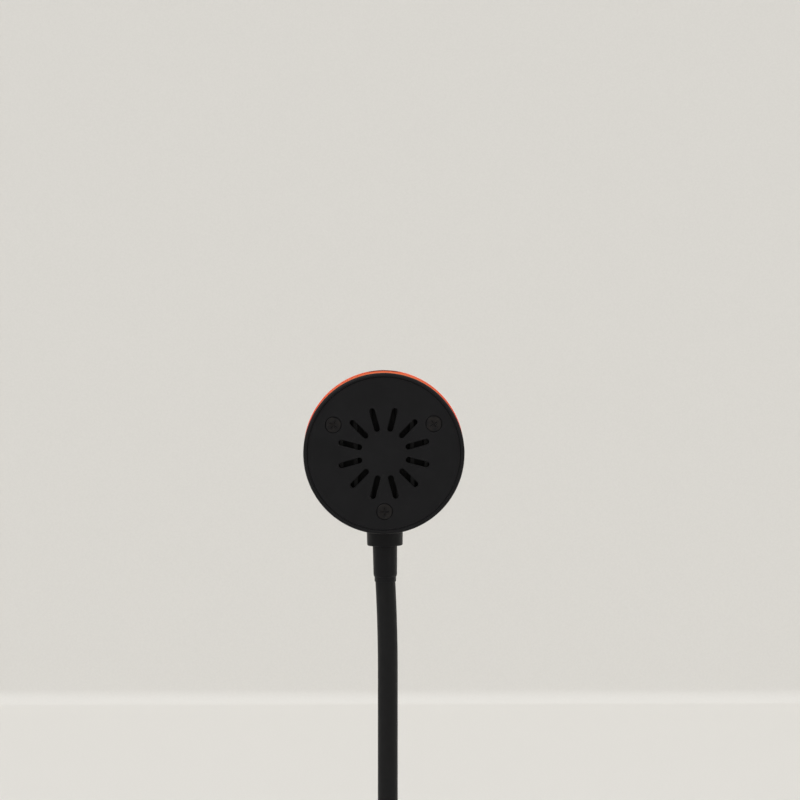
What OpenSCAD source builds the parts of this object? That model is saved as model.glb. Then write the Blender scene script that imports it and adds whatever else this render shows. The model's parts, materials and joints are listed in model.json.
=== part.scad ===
// Sunset projection lamp: a short round head with a clear front lens, on a sleeved
// flexible neck over a round weighted base with a USB-C inlet and a push button.
// It stands on z = 0 with the base centred on the origin, and throws its light along +Y.

/* [Head housing] */
// Outside diameter of the housing
head_d = 50; // [48:0.5:54]
// Length of the housing along the light
head_len = 34; // [33:0.5:40]
// Wall of the housing
head_wall = 2; // [1.6:0.1:2.2]
// Rounding of the housing's rear edge
head_edge_r = 0.8; // [0.3:0.1:1]
// Chamfer of the housing's front edge
front_chamfer = 0.4; // [0.2:0.1:0.6]
// From the heat sink to the neck's nut, along the light
nut_from_sink = 0.6; // [0.4:0.1:1]
// Ledge inside the housing that the heat sink is clamped on: its height off the wall
ledge_h = 1.6; // [1.2:0.1:1.8]
// Thickness of that ledge along the light
ledge_th = 1.5; // [1.2:0.1:2]
// Wall left where the inside is milled flat for the neck's nut
nut_flat_wall = 1.6; // [1.3:0.1:1.8]

/* [Rear cover] */
// Thickness of the rear cover
cover_th = 2.2; // [1.8:0.1:2.6]
// How far the cover lies inside the housing's rear edge
cover_inset = 0.4; // [0.2:0.1:0.8]
// How far the cover's seat is cut into the wall
cover_seat = 0.8; // [0.6:0.1:1]
// Number of vent slots
vent_n = 12; // [8:1:14]
// Width of a vent slot
vent_w = 1.8; // [1.4:0.1:2]
// Radius at which the vent slots begin
vent_from = 7; // [6.5:0.5:8]
// Radius at which the vent slots end
vent_to = 14.5; // [13:0.5:15]
// From the cover screws' posts out to the housing's ledge
post_gap = 0.8; // [0.5:0.1:1.2]
// Diameter of a cover screw
cover_screw_d = 2.5; // [2:0.1:3]
// Diameter of a cover screw's countersunk head
cover_screw_head_d = 4.8; // [4:0.1:5]
// Length of a cover screw
cover_screw_len = 7; // [6:0.5:9]
// Number of cover screws
cover_screw_n = 3; // [3:1:4]

/* [Heat sink and light source] */
// How far the fins end short of the rear cover
fin_air = 1.1; // [0.6:0.1:2]
// Thickness of the heat sink's plate
sink_th = 3.5; // [3:0.1:4]
// Diameter of the posts that the cover screws go into
sink_post_d = 5.2; // [4.6:0.1:5.4]
// Thickness of a fin
fin_th = 1.2; // [0.8:0.1:1.6]
// Distance from fin to fin
fin_pitch = 4.4; // [3:0.1:5]
// Number of fins
fin_n = 9; // [5:2:9]
// From the stack of fins out to the housing's ledge
fin_gap = 1.4; // [1:0.1:3]
// Diameter of the light source's board
star_d = 20; // [18:0.5:20.5]
// Thickness of the light source's board
star_th = 1.6; // [1:0.1:2]
// Number of notches in the board's rim
star_notch_n = 6; // [4:2:8]
// Diameter of the emitter's round body
emitter_d = 8; // [6:0.5:10]
// Height of the emitter's round body
emitter_h = 1; // [0.8:0.1:1.5]
// Diameter of the emitter's clear dome
emitter_dome_d = 5.4; // [4:0.1:6]
// Height of the emitter's clear dome
emitter_dome_h = 2.1; // [1.5:0.1:2.5]
// Diameter of the small screws in the head
inner_screw_d = 2; // [1.6:0.1:2.2]
// Head diameter of the small screws
inner_screw_head_d = 3.6; // [3:0.1:3.8]
// Head height of the small screws
inner_screw_head_h = 1.3; // [1:0.1:1.6]
// How deep the small screws reach into the heat sink
inner_screw_grip = 2.4; // [1.5:0.1:2.6]

/* [Optics] */
// Wall of the lens barrel round the filter
barrel_wall = 1.6; // [1.2:0.1:2]
// How far the barrel's foot flange reaches past its screws' heads
barrel_flange_rim = 0.3; // [0.2:0.1:1]
// Thickness of the barrel's foot flange
barrel_flange_th = 1.5; // [1.2:0.1:2]
// Gap between the light source's board and the barrel round it
star_gap = 0.6; // [0.3:0.1:0.8]
// From the heat sink to the condenser lens
condenser_at = 6.6; // [5.5:0.1:7.5]
// Width of the barrel's ledge that the condenser lens sits on
condenser_ledge = 0.9; // [0.6:0.1:1.2]
// Thickness of the condenser lens at its rim
condenser_rim = 1.5; // [1:0.1:2]
// Height of the condenser lens's crown above its rim
condenser_crown = 4; // [3:0.1:4.5]
// Width of the barrel's ledge that the filter sits on
filter_ledge = 1; // [0.6:0.1:1.2]
// Thickness of the sunset filter
filter_th = 1.1; // [0.8:0.1:1.6]
// Air gap between the condenser's crown and the filter
filter_air = 0.5; // [0.3:0.1:1]
// Height of the threaded ring that holds the filter
filter_ring_h = 1.8; // [1.4:0.1:2.4]
// Width of that ring
filter_ring_w = 1.6; // [1.2:0.1:2]
// Width of the slots across that ring, for a driver
filter_ring_slot = 1; // [0.8:0.1:1.4]
// Air gap between that ring and the front lens
front_air = 2.5; // [1:0.1:3]
// How far the front lens's clear rim stands out past the housing
lens_overhang = 1.45; // [0.8:0.05:3]
// Thickness of the front lens's rim
lens_rim_th = 5; // [4:0.1:6]
// Height of the front lens's crown
lens_crown = 8; // [4:0.1:11]
// Width of the flat step round the crown
lens_step = 1.2; // [0.8:0.1:2]
// How far the front lens reaches into the housing
lens_spigot = 2.6; // [2:0.1:3.2]
// Chamfer of the front lens's rim
lens_chamfer = 0.35; // [0.2:0.05:0.6]
// Thickness of the gasket under the lens's rim
gasket_th = 0.5; // [0.3:0.1:0.8]
// Width of that gasket
gasket_w = 1.7; // [1.2:0.1:1.8]

/* [Collars and ferrules] */
// Diameter of the saddle collar where it meets the housing
collar_d_head = 11.6; // [10.8:0.1:12]
// Diameter of a collar where it meets the ferrule
collar_d_ferrule = 11.4; // [10.8:0.1:11.6]
// Depth of the saddle collar below the housing
collar_h = 5; // [4:0.1:6]
// Height of the lower collar
lower_collar_h = 4; // [3:0.1:6]
// Rounding of the collars' edges
collar_edge_r = 0.4; // [0.2:0.1:0.8]
// How much wider a ferrule is at its collar than at its nose
ferrule_taper = 0.28; // [0:0.02:0.6]
// Rounding of a ferrule's shoulder across its axis
nose_step = 0.34; // [0.3:0.02:0.6]
// Rounding of a ferrule's shoulder along its axis
nose_round = 1.2; // [0.8:0.1:1.6]
// Length of a ferrule's body
ferrule_len = 8.8; // [7:0.1:12]
// Length of a ferrule's nose with its shoulder
nose_len = 2.7; // [2:0.1:3.5]
// Wall left at the tip of the nose
nose_lip = 0.15; // [0.1:0.05:0.25]
// Diameter of a ferrule's threaded stud
stud_d = 6; // [5.6:0.1:6.4]
// Width of the studs' nuts across their flats
nut_af = 10; // [9:0.5:10]
// Thickness of the studs' nuts
nut_h = 3.2; // [2.4:0.1:3.6]
// Thread that shows past the nuts
stud_past = 1.2; // [0.6:0.1:1.6]

/* [Flexible neck] */
// Free length of the neck between its ferrules
neck_len = 174; // [150:1:200]
// Outside diameter of the neck's sleeve
neck_d = 6.4; // [6:0.05:6.6]
// Wall of the sleeve
sleeve_wall = 0.8; // [0.6:0.05:0.9]
// Clearance between the sleeve and the steel core
sleeve_clear = 0.25; // [0.2:0.05:0.35]
// Bore of the steel core
core_bore = 2.3; // [2.2:0.1:2.5]
// Number of places where the neck bends, in turn front to back and side to side
joint_n = 12; // [8:2:12]
// Bend of each place, either way
joint_limit = 15; // [10:1:16]
// Least gap between two core links, on their axis
core_gap = 0.3; // [0.2:0.05:0.5]
// Gap between two stretches of the sleeve
sleeve_gap = 0.2; // [0.16:0.02:0.3]
// How far the core reaches into a ferrule
core_in = 4; // [3:0.1:5]
// How far the sleeve reaches into a ferrule
sleeve_in = 1.2; // [0.8:0.1:1.6]
// Lean of the neck's top stretch to the left, in degrees, as it stands
top_lean = 3.1; // [0:0.1:4]
// Turn of the head about its light axis, in degrees, as it stands
head_roll = 0.65; // [0:0.05:1]
// Diameter of the lamp's lead inside the neck
lead_d = 1.4; // [1:0.1:1.6]

/* [Base] */
// Diameter of the base
base_d = 90; // [88:1:110]
// Height of the base's top above the table
base_h = 16.5; // [16:0.1:19]
// Rounding of the base's top edge
base_edge_r = 5; // [2:0.1:5.4]
// Wall of the base's shell
base_wall = 2.2; // [1.6:0.1:2.4]
// Gap under the shell's lower edge
shell_lift = 0.9; // [0.5:0.1:1.2]
// Height of the rubber foot ring
foot_h = 1.6; // [1.3:0.1:2]
// Width of the rubber foot ring
foot_w = 5; // [3:0.1:5.4]
// From the bottom plate's edge in to the foot ring
foot_inset = 0.8; // [0.4:0.1:1]
// Thickness of the bottom plate
plate_th = 1.6; // [1.5:0.1:2]
// Thickness of the steel weight
weight_th = 7; // [5:0.1:7.2]
// Gap between the weight and the shell's wall
weight_clear = 1.2; // [0.8:0.1:3]
// Bore of the weight, round the neck's nut
weight_bore = 17; // [14:0.5:20]
// Gap between the board and the sides of the weight's slot
board_clear = 2.5; // [1.5:0.5:4]
// Number of the bottom plate's screws
base_screw_n = 4; // [4:4:8]
// From the bottom plate's screws' heads out to the foot ring
base_screw_gap = 0.95; // [0.5:0.05:2]
// Diameter of a bottom plate screw
base_screw_d = 3; // [2.5:0.1:3.2]
// Diameter of a bottom plate screw's countersunk head
base_screw_head_d = 5.6; // [5:0.1:6]
// Length of a bottom plate screw
base_screw_len = 11; // [10:0.5:11.5]
// Diameter of the shell's screw bosses
boss_d = 7.2; // [6.4:0.1:8]

/* [Board, inlet and button] */
// Width of the driver board
board_w = 22; // [21:0.5:24]
// Length of the driver board
board_l = 22; // [21:0.5:24]
// Thickness of the driver board
board_th = 1.6; // [1.2:0.1:1.6]
// Gap between the board's corners and the shell
board_gap = 0.35; // [0.3:0.05:1]
// Floor left under the screw holes in the board's standoffs
standoff_floor = 0.6; // [0.4:0.1:1]
// Diameter of the board's standoffs
standoff_d = 4.4; // [4:0.1:4.8]
// From the board's edge to its screws
board_screw_in = 2.6; // [2.4:0.1:3]
// Diameter of a board screw
board_screw_d = 2; // [1.6:0.1:2.2]
// Head diameter of a board screw
board_screw_head_d = 3.8; // [3.4:0.1:4]
// Head height of a board screw
board_screw_head_h = 1.2; // [1:0.1:1.6]
// Width of the USB-C socket
usb_w = 8.94; // [8.94:0.02:9.1]
// Height of the USB-C socket
usb_h = 3.26; // [3.2:0.02:3.4]
// Length of the USB-C socket
usb_l = 7.35; // [6.8:0.05:8]
// Sheet thickness of the USB-C socket
usb_sheet = 0.32; // [0.25:0.01:0.36]
// How far the socket's mouth lies inside the shell's outside
usb_inset = 0.9; // [0.5:0.1:1.2]
// Gap between the socket and the shell's cut-out
usb_clear = 0.35; // [0.25:0.05:0.5]
// Width of the socket's tongue
tongue_w = 6.69; // [6.5:0.01:6.8]
// Thickness of the socket's tongue
tongue_th = 0.7; // [0.6:0.02:0.8]
// How far the tongue ends short of the socket's mouth
tongue_inset = 1; // [0.6:0.1:1.4]
// Length of the moulded block that the tongue grows from
tongue_block = 1.6; // [1:0.1:2]
// From the shell's outside to the button's axis
button_from_rear = 16; // [15:0.5:17]
// Diameter of the button
button_d = 8.8; // [8:0.1:10]
// Width of the button's flange under the shell
button_flange_w = 1.2; // [1:0.1:1.6]
// Thickness of the button's flange
button_flange_th = 1.2; // [1:0.1:1.4]
// Length of the button's stem under its flange
button_stem = 1.5; // [1:0.1:2]
// How far the button stands above the base
button_proud = 0.9; // [0.8:0.1:1.5]
// Travel of the button
button_travel = 0.6; // [0.3:0.05:0.7]
// Gap round the button
button_clear = 0.2; // [0.15:0.05:0.3]
// Depth of the button's finger dish
button_dish = 0.35; // [0.2:0.05:0.5]
// Rounding of the button's top edge
button_edge_r = 0.5; // [0.3:0.05:0.7]
// Width of the push switch's square body
switch_w = 6; // [5.6:0.1:6.4]
// Height of the push switch's body
switch_h = 3.5; // [3.2:0.1:3.8]
// Diameter of the push switch's plunger
plunger_d = 3.4; // [3:0.1:3.6]
// How far the plunger stands out of the switch
plunger_out = 1.2; // [1:0.1:1.4]

/* [Fits] */
// Gap between a part that is laid or pushed into another and its seat
seat_clear = 0.1; // [0.05:0.01:0.15]
// Gap between a thread and its hole
thread_clear = 0.05; // [0.02:0.01:0.08]
// Gap between a screw and a hole that it passes through
pass_clear = 0.25; // [0.15:0.05:0.3]
// Gap between the switch's plunger and its guide
plunger_clear = 0.08; // [0.05:0.01:0.1]

/* [Hidden] */
$fn = 64;
EPS = 0.01; // overlap of joined shapes, and overshoot of cuts

// Along the light, from the housing's rear edge; the optics are set back from the front lens
lens_z = head_len + gasket_th; // rear face of the front lens's rim
barrel_end_z = head_len - lens_spigot - front_air;
filter_ring_z = barrel_end_z - filter_ring_h;
filter_z = filter_ring_z - filter_th;
condenser_z = filter_z - filter_air - condenser_crown - condenser_rim;
sink_face_z = condenser_z - condenser_at; // the face that carries the light source
sink_z = sink_face_z - sink_th; // the heat sink plate's rear face
star_face_z = sink_face_z + star_th;
cover_face_z = cover_inset + cover_th; // the cover's inner face
fin_z = cover_face_z + fin_air;
neck_from_rear = sink_face_z + nut_from_sink + nut_af / 2; // the neck's axis

// Across the light
head_bore_r = head_d / 2 - head_wall;
cover_seat_r = head_bore_r + cover_seat;
nut_flat_r = head_d / 2 - nut_flat_wall;
ledge_r = head_bore_r - ledge_h;
cover_screw_r = ledge_r - post_gap - sink_post_d / 2;
fin_r = ledge_r - fin_gap;
throat_r = star_d / 2 + star_gap; // the barrel's bore round the light source
condenser_r = throat_r + condenser_ledge;
filter_r = condenser_r + filter_ledge;
barrel_r = filter_r + seat_clear + barrel_wall;
star_notch_w = inner_screw_d + 2 * pass_clear;
star_screw_r = throat_r - seat_clear - inner_screw_head_d / 2;
barrel_screw_r = barrel_r + seat_clear + inner_screw_head_d / 2;
barrel_flange_r = barrel_screw_r + inner_screw_head_d / 2 + barrel_flange_rim;
lens_r = head_d / 2 + lens_overhang;
lens_top_r = lens_r - lens_step; // edge of the front lens's crown

// The neck
sleeve_bore_r = neck_d / 2 - sleeve_wall;
core_r = sleeve_bore_r - sleeve_clear;
core_bore_r = core_bore / 2;
relief = tan(joint_limit / 2 + 1); // slope of a core link's ends, which meet at no bend
joint_pitch = neck_len / joint_n;
ferrule_reach = collar_h + ferrule_len + nose_len; // from the housing to the upper ferrule's mouth
lower_mouth_z = base_h + lower_collar_h + ferrule_len + nose_len;
nose_d = neck_d + 2 * (seat_clear + nose_lip);
ferrule_d_nose = nose_d + 2 * nose_step;
ferrule_d_collar = ferrule_d_nose + ferrule_taper;
lean_slack = neck_d / 2 * sin(top_lean); // how much deeper a leaning end reaches on one side

// Lean of link k of the neck, where link 0 rises from the base and the last carries the head
function lean_of(k) = k == joint_n ? top_lean : k == joint_n - 1 ? top_lean / 2 : 0;
// Direction of something that leans to the left by an angle
function up(lean) = [-sin(lean), 0, cos(lean)];
// Centre of joint k of the neck, counted from 1 at the base
function joint_at(k) = k == 1
    ? [0, 0, lower_mouth_z + joint_pitch / 2]
    : joint_at(k - 1) + joint_pitch * up(lean_of(k - 1));
upper_mouth = joint_at(joint_n) + joint_pitch / 2 * up(top_lean);
head_at = upper_mouth + (head_d / 2 + ferrule_reach) * up(head_roll);

// Heights in the base
shell_ceiling_z = base_h - base_wall;
plate_z = foot_h;
weight_z = plate_z + plate_th;
button_flange_z = shell_ceiling_z - seat_clear - button_flange_th;
plunger_top_z = button_flange_z - button_stem;
board_top_z = plunger_top_z - plunger_out - switch_h;
board_z = board_top_z - board_th;
usb_z = board_top_z + usb_h / 2;
lower_stud_z = shell_ceiling_z - nut_h - stud_past;

// Radii and places in the base
shell_bore_r = base_d / 2 - base_wall;
plate_r = shell_bore_r - pass_clear;
foot_r = plate_r - foot_inset;
base_screw_r = foot_r - foot_w - base_screw_gap - base_screw_head_d / 2;
weight_r = shell_bore_r - weight_clear;
board_y = -sqrt(pow(shell_bore_r - board_gap, 2) - pow(board_w / 2, 2)); // its outer edge
button_y = -base_d / 2 + button_from_rear;
board_screw_x = board_w / 2 - board_screw_in;
board_screw_y = board_y + board_l - board_screw_in;
usb_y = -base_d / 2 + usb_inset;

// What stands on the board: places from the middle of its outer edge, then sizes
inductor_at = [-7, 8.4, 0];
inductor_size = [6, 3.4];
capacitor_at = [7, 13.2, 0];
capacitor_size = [4, 4.2];
circuit_at = [4.6, 6, 0];
circuit_size = [5, 4, 1.6];
resistor_at = [-9.6, 14, 0];
resistor_size = [1.2, 2, 0.6];
resistor_pitch = 2.4;

black = [0.05, 0.05, 0.055];
silver = [0.75, 0.76, 0.78];
steel = [0.55, 0.56, 0.58];
green = [0.06, 0.28, 0.18];
white = [0.92, 0.92, 0.9];
clear = [0.95, 0.6, 0.35, 0.45];
amber = [1, 0.42, 0.08, 0.7];
red = [0.75, 0.08, 0.06];

function two(k) = k < 10 ? str("0", k) : str(k);
function core_name(k) = str("neck_core_", two(k));
function sleeve_name(k) = str("neck_sleeve_", two(k));

// ---- Frames ----

// The head's own frame: +Z along the light from the housing's rear edge, +Y down to the neck
module in_head() {
    translate(head_at) rotate([0, -head_roll, 0]) rotate([-90, 0, 0])
        translate([0, 0, -neck_from_rear]) children();
}

// The upper ferrule's frame: +Z from its mouth to the head's axis
module in_upper_ferrule() {
    in_head() translate([0, head_d / 2 + ferrule_reach, neck_from_rear])
        rotate([90, 0, 0]) children();
}

// The lower ferrule's frame: +Z from its mouth down into the base
module in_lower_ferrule() {
    translate([0, 0, lower_mouth_z]) rotate([180, 0, 0]) children();
}

// Link k's frame: +Z along the link, from the joint that it turns on
module in_link(k) {
    if (k == 0)
        translate([0, 0, lower_mouth_z]) children();
    else
        translate(joint_at(k)) rotate([0, -lean_of(k), 0]) children();
}

// ---- Shapes that repeat ----

module on_circle(n, r, start = 0) {
    for (i = [0:n - 1]) rotate(start + i * 360 / n) translate([r, 0, 0]) children();
}

// Half profile of a disc with a rounded upper edge
module round_top_2d(r, h, edge) {
    square([r - edge, h]);
    square([r, h - edge]);
    translate([r - edge, h - edge]) circle(edge);
}

// Flat slot with round ends, lying along X and centred
module slot_2d(l, w) {
    square([l - w, w], center = true);
    for (side = [-1, 1]) translate([side * (l - w) / 2, 0]) circle(d = w);
}

// Crown of a lens: a slice of a ball with its flat on z = 0
module crown(r, h) {
    ball = (r * r + h * h) / (2 * h);
    rotate_extrude() intersection() {
        translate([0, h - ball]) circle(ball);
        square([r + EPS, h + EPS]);
    }
}

// Cross recess, cut down from z = 0
module cross_recess(d, depth) {
    for (turn = [0, 90]) rotate(turn)
        translate([-d / 2, -d / 10, -depth]) cube([d, d / 5, depth + EPS]);
}

// Countersunk screw: its face on z = 0, and its shank along -Z
module countersunk_screw(d, head, l) {
    sink = (head - d) / 2;
    difference() {
        union() {
            translate([0, 0, -sink]) cylinder(d1 = d, d2 = head, h = sink);
            translate([0, 0, -l]) cylinder(d = d, h = l - sink + EPS);
        }
        cross_recess(head * 0.55, sink * 0.8);
    }
}

// Hole for that screw: clearance round its shank, and its head flush with z = 0
module countersunk_hole(d, head, l) {
    gap = pass_clear;
    sink = (head - d) / 2;
    translate([0, 0, -sink]) cylinder(d1 = d + 2 * gap, d2 = head + 2 * gap, h = sink + EPS);
    translate([0, 0, -l]) cylinder(d = d + 2 * gap, h = l);
}

// Pan head screw: the underside of its head on z = 0, and its shank along -Z
module pan_screw(d, head, head_h, l) {
    difference() {
        union() {
            rotate_extrude() round_top_2d(head / 2, head_h, head_h / 2);
            translate([0, 0, -l]) cylinder(d = d, h = l + EPS);
        }
        translate([0, 0, head_h]) cross_recess(head * 0.6, head_h * 0.6);
    }
}

// ---- The head ----

module head_housing() {
    color(black) in_head() difference() {
        rotate_extrude() difference() {
            union() {
                translate([0, head_edge_r]) square([head_d / 2, head_len - head_edge_r - front_chamfer]);
                square([head_d / 2 - head_edge_r, head_len - front_chamfer]);
                translate([head_d / 2 - head_edge_r, head_edge_r]) circle(head_edge_r);
                polygon([
                    [0, head_len - front_chamfer], [head_d / 2, head_len - front_chamfer],
                    [head_d / 2 - front_chamfer, head_len], [0, head_len]
                ]);
            }
            translate([0, -EPS]) square([cover_seat_r, cover_face_z + EPS]);
            square([ledge_r, head_len + EPS]);
            translate([0, cover_face_z - EPS])
                square([head_bore_r, sink_z - ledge_th - cover_face_z + EPS]);
            translate([0, sink_z]) square([head_bore_r, head_len]);
        }
        translate([0, 0, neck_from_rear]) rotate([-90, 0, 0]) {
            cylinder(d = stud_d + 2 * pass_clear, h = head_d);
            cylinder(d = nut_af / cos(30) + 2 * pass_clear, h = nut_flat_r);
        }
    }
}

module rear_cover() {
    color(black) in_head() difference() {
        translate([0, 0, cover_inset]) cylinder(r = cover_seat_r - seat_clear, h = cover_th);
        translate([0, 0, cover_inset - EPS]) linear_extrude(cover_th + 2 * EPS)
            on_circle(vent_n, (vent_from + vent_to) / 2, 180 / vent_n)
                slot_2d(vent_to - vent_from, vent_w);
        translate([0, 0, cover_inset]) on_circle(cover_screw_n, cover_screw_r, 90)
            rotate([180, 0, 0])
                countersunk_hole(cover_screw_d, cover_screw_head_d, cover_th + EPS);
    }
}

module rear_cover_screws() {
    color(black) in_head() translate([0, 0, cover_inset])
        on_circle(cover_screw_n, cover_screw_r, 90) rotate([180, 0, 0])
            countersunk_screw(cover_screw_d, cover_screw_head_d, cover_screw_len);
}

// Half profile of a collar, its ferrule end on z = 0, and past its height straight on
module collar_2d(h, past) {
    polygon([
        [0, collar_edge_r], [collar_d_ferrule / 2, collar_edge_r], [collar_d_head / 2, h],
        [collar_d_head / 2, h + past], [0, h + past]
    ]);
    square([collar_d_ferrule / 2 - collar_edge_r, collar_edge_r + EPS]);
    translate([collar_d_ferrule / 2 - collar_edge_r, collar_edge_r]) circle(collar_edge_r);
}

module saddle_collar() {
    color(black) in_upper_ferrule() difference() {
        translate([0, 0, ferrule_len + nose_len])
            rotate_extrude() collar_2d(collar_h, head_wall);
        cylinder(d = stud_d + 2 * pass_clear, h = head_d);
        translate([0, 0, head_d / 2 + ferrule_reach]) rotate([90, 0, 0])
            cylinder(d = head_d + 2 * EPS, h = head_d, center = true);
    }
}

module lower_collar() {
    color(black) in_lower_ferrule() translate([0, 0, ferrule_len + nose_len]) difference() {
        rotate_extrude() collar_2d(lower_collar_h, 0);
        translate([0, 0, -EPS])
            cylinder(d = stud_d + 2 * pass_clear, h = lower_collar_h + 2 * EPS);
    }
}

// Ferrule with its stud: the mouth on z = 0, and the stud's end at the given length past the collar end
module ferrule(stud_len) {
    body_end = nose_len + ferrule_len;
    difference() {
        rotate_extrude() {
            square([nose_d / 2, nose_len]);
            intersection() {
                translate([nose_d / 2, nose_len]) scale([nose_step / nose_round, 1, 1])
                    circle(nose_round);
                square([ferrule_d_nose, nose_len]);
            }
            polygon([
                [0, nose_len], [ferrule_d_nose / 2, nose_len], [ferrule_d_collar / 2, body_end],
                [0, body_end]
            ]);
            square([stud_d / 2, body_end + stud_len]);
        }
        translate([0, 0, -EPS])
            cylinder(d = neck_d + 2 * seat_clear, h = sleeve_in + seat_clear + lean_slack);
        cylinder(r = sleeve_bore_r, h = core_in + seat_clear + lean_slack);
        cylinder(d = core_bore, h = body_end + stud_len + EPS);
    }
}

module upper_ferrule() {
    color(black) in_upper_ferrule() ferrule(collar_h + nut_flat_wall + nut_h + stud_past);
}

module lower_ferrule() {
    color(black) in_lower_ferrule() ferrule(lower_collar_h + base_wall + nut_h + stud_past);
}

module nut() {
    difference() {
        cylinder(d = nut_af / cos(30), h = nut_h, $fn = 6);
        translate([0, 0, -EPS]) cylinder(d = stud_d + 2 * thread_clear, h = nut_h + 2 * EPS);
    }
}

module upper_nut() {
    color(steel) in_upper_ferrule()
        translate([0, 0, nose_len + ferrule_len + collar_h + nut_flat_wall]) nut();
}

module lower_nut() {
    color(steel) in_lower_ferrule()
        translate([0, 0, nose_len + ferrule_len + lower_collar_h + base_wall]) nut();
}

module heat_sink() {
    fin_h = sink_z - fin_z;
    post_h = sink_z - cover_face_z;
    color(black) in_head() difference() {
        union() {
            translate([0, 0, sink_z]) cylinder(r = head_bore_r - seat_clear, h = sink_th);
            intersection() {
                translate([0, 0, fin_z]) cylinder(r = fin_r, h = fin_h + EPS);
                for (i = [0:fin_n - 1])
                    translate([(i - (fin_n - 1) / 2) * fin_pitch - fin_th / 2, -fin_r, fin_z])
                        cube([fin_th, 2 * fin_r, fin_h + EPS]);
            }
            translate([0, 0, cover_face_z]) on_circle(cover_screw_n, cover_screw_r, 90)
                cylinder(d = sink_post_d, h = post_h + EPS);
        }
        translate([0, 0, cover_inset]) on_circle(cover_screw_n, cover_screw_r, 90)
            cylinder(d = cover_screw_d + 2 * thread_clear, h = cover_screw_len + 2 * seat_clear);
        translate([0, 0, sink_face_z - inner_screw_grip - seat_clear]) at_inner_screws()
            cylinder(d = inner_screw_d + 2 * thread_clear, h = inner_screw_grip + 1);
    }
}

// Two screws hold the light source's board, and two the barrel's foot
module at_inner_screws() {
    at_star_screws() children();
    at_barrel_screws() children();
}

module at_star_screws() {
    on_circle(2, star_screw_r) children();
}

module at_barrel_screws() {
    on_circle(2, barrel_screw_r) children();
}

module led_board() {
    color(white) in_head() translate([0, 0, sink_face_z]) difference() {
        cylinder(d = star_d, h = star_th);
        translate([0, 0, -EPS]) linear_extrude(star_th + 2 * EPS)
            on_circle(star_notch_n, star_screw_r + star_d / 2)
                slot_2d(star_d + star_notch_w, star_notch_w);
    }
}

module led_emitter() {
    color(amber) in_head() translate([0, 0, star_face_z]) {
        cylinder(d = emitter_d, h = emitter_h);
        translate([0, 0, emitter_h - EPS]) crown(emitter_dome_d / 2, emitter_dome_h);
    }
}

module inner_screws() {
    color(steel) in_head() {
        translate([0, 0, star_face_z]) at_star_screws()
            pan_screw(inner_screw_d, inner_screw_head_d, inner_screw_head_h, star_th + inner_screw_grip);
        translate([0, 0, sink_face_z + barrel_flange_th]) at_barrel_screws()
            pan_screw(inner_screw_d, inner_screw_head_d, inner_screw_head_h,
                barrel_flange_th + inner_screw_grip);
    }
}

module lens_barrel() {
    length = barrel_end_z - sink_face_z;
    color(black) in_head() translate([0, 0, sink_face_z]) difference() {
        union() {
            cylinder(r = barrel_r, h = length);
            cylinder(r = barrel_flange_r, h = barrel_flange_th);
        }
        translate([0, 0, -EPS]) cylinder(r = throat_r, h = length);
        translate([0, 0, condenser_at]) cylinder(r = condenser_r + seat_clear, h = length);
        translate([0, 0, filter_z - sink_face_z])
            cylinder(r = filter_r + seat_clear, h = length);
        translate([0, 0, -EPS]) at_barrel_screws()
            cylinder(d = inner_screw_d + 2 * pass_clear, h = barrel_flange_th + 1);
        translate([-lead_d * 1.5, 0, -EPS])
            cube([lead_d * 3, head_d, condenser_at - barrel_flange_th / 2]);
    }
}

module condenser_lens() {
    color(clear) in_head() translate([0, 0, condenser_z]) {
        cylinder(r = condenser_r, h = condenser_rim);
        translate([0, 0, condenser_rim - EPS]) crown(condenser_r, condenser_crown);
    }
}

module sunset_filter() {
    color(amber) in_head() translate([0, 0, filter_z]) cylinder(r = filter_r, h = filter_th);
}

module filter_ring() {
    color(black) in_head() translate([0, 0, filter_ring_z]) difference() {
        cylinder(r = filter_r, h = filter_ring_h);
        translate([0, 0, -EPS]) cylinder(r = filter_r - filter_ring_w, h = filter_ring_h + 2 * EPS);
        translate([-filter_r - EPS, -filter_ring_slot / 2, filter_ring_h / 2])
            cube([2 * filter_r + 2 * EPS, filter_ring_slot, filter_ring_h]);
    }
}

// The rim is wider than the housing, so a clear edge shows round the head
module front_lens() {
    color(clear) in_head() {
        translate([0, 0, head_len - lens_spigot])
            cylinder(r = head_bore_r - seat_clear, h = lens_spigot + gasket_th + EPS);
        translate([0, 0, lens_z]) rotate_extrude() polygon([
            [0, 0], [lens_r - lens_chamfer, 0], [lens_r, lens_chamfer],
            [lens_r, lens_rim_th - lens_chamfer], [lens_r - lens_chamfer, lens_rim_th],
            [0, lens_rim_th]
        ]);
        translate([0, 0, lens_z + lens_rim_th - EPS]) crown(lens_top_r, lens_crown);
    }
}

module lens_gasket() {
    inner_r = head_bore_r;
    color(black) in_head() translate([0, 0, head_len]) difference() {
        cylinder(r = inner_r + gasket_w - front_chamfer, h = gasket_th);
        translate([0, 0, -EPS]) cylinder(r = inner_r, h = gasket_th + 2 * EPS);
    }
}

// ---- The neck ----

// Steel core of link k: a tube whose ends slope back from the joints, so that links never touch
module neck_core(k) {
    from = k == 0 ? -core_in : core_gap / 2;
    to = k == 0 ? joint_pitch / 2 - core_gap / 2
        : k == joint_n ? joint_pitch / 2 + core_in
        : joint_pitch - core_gap / 2;
    from_slope = k == 0 ? 0 : relief;
    to_slope = k == joint_n ? 0 : relief;
    color(steel) in_link(k) rotate_extrude() polygon([
        [core_bore_r, from + core_bore_r * from_slope], [core_r, from + core_r * from_slope],
        [core_r, to - core_r * to_slope], [core_bore_r, to - core_bore_r * to_slope]
    ]);
}

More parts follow.
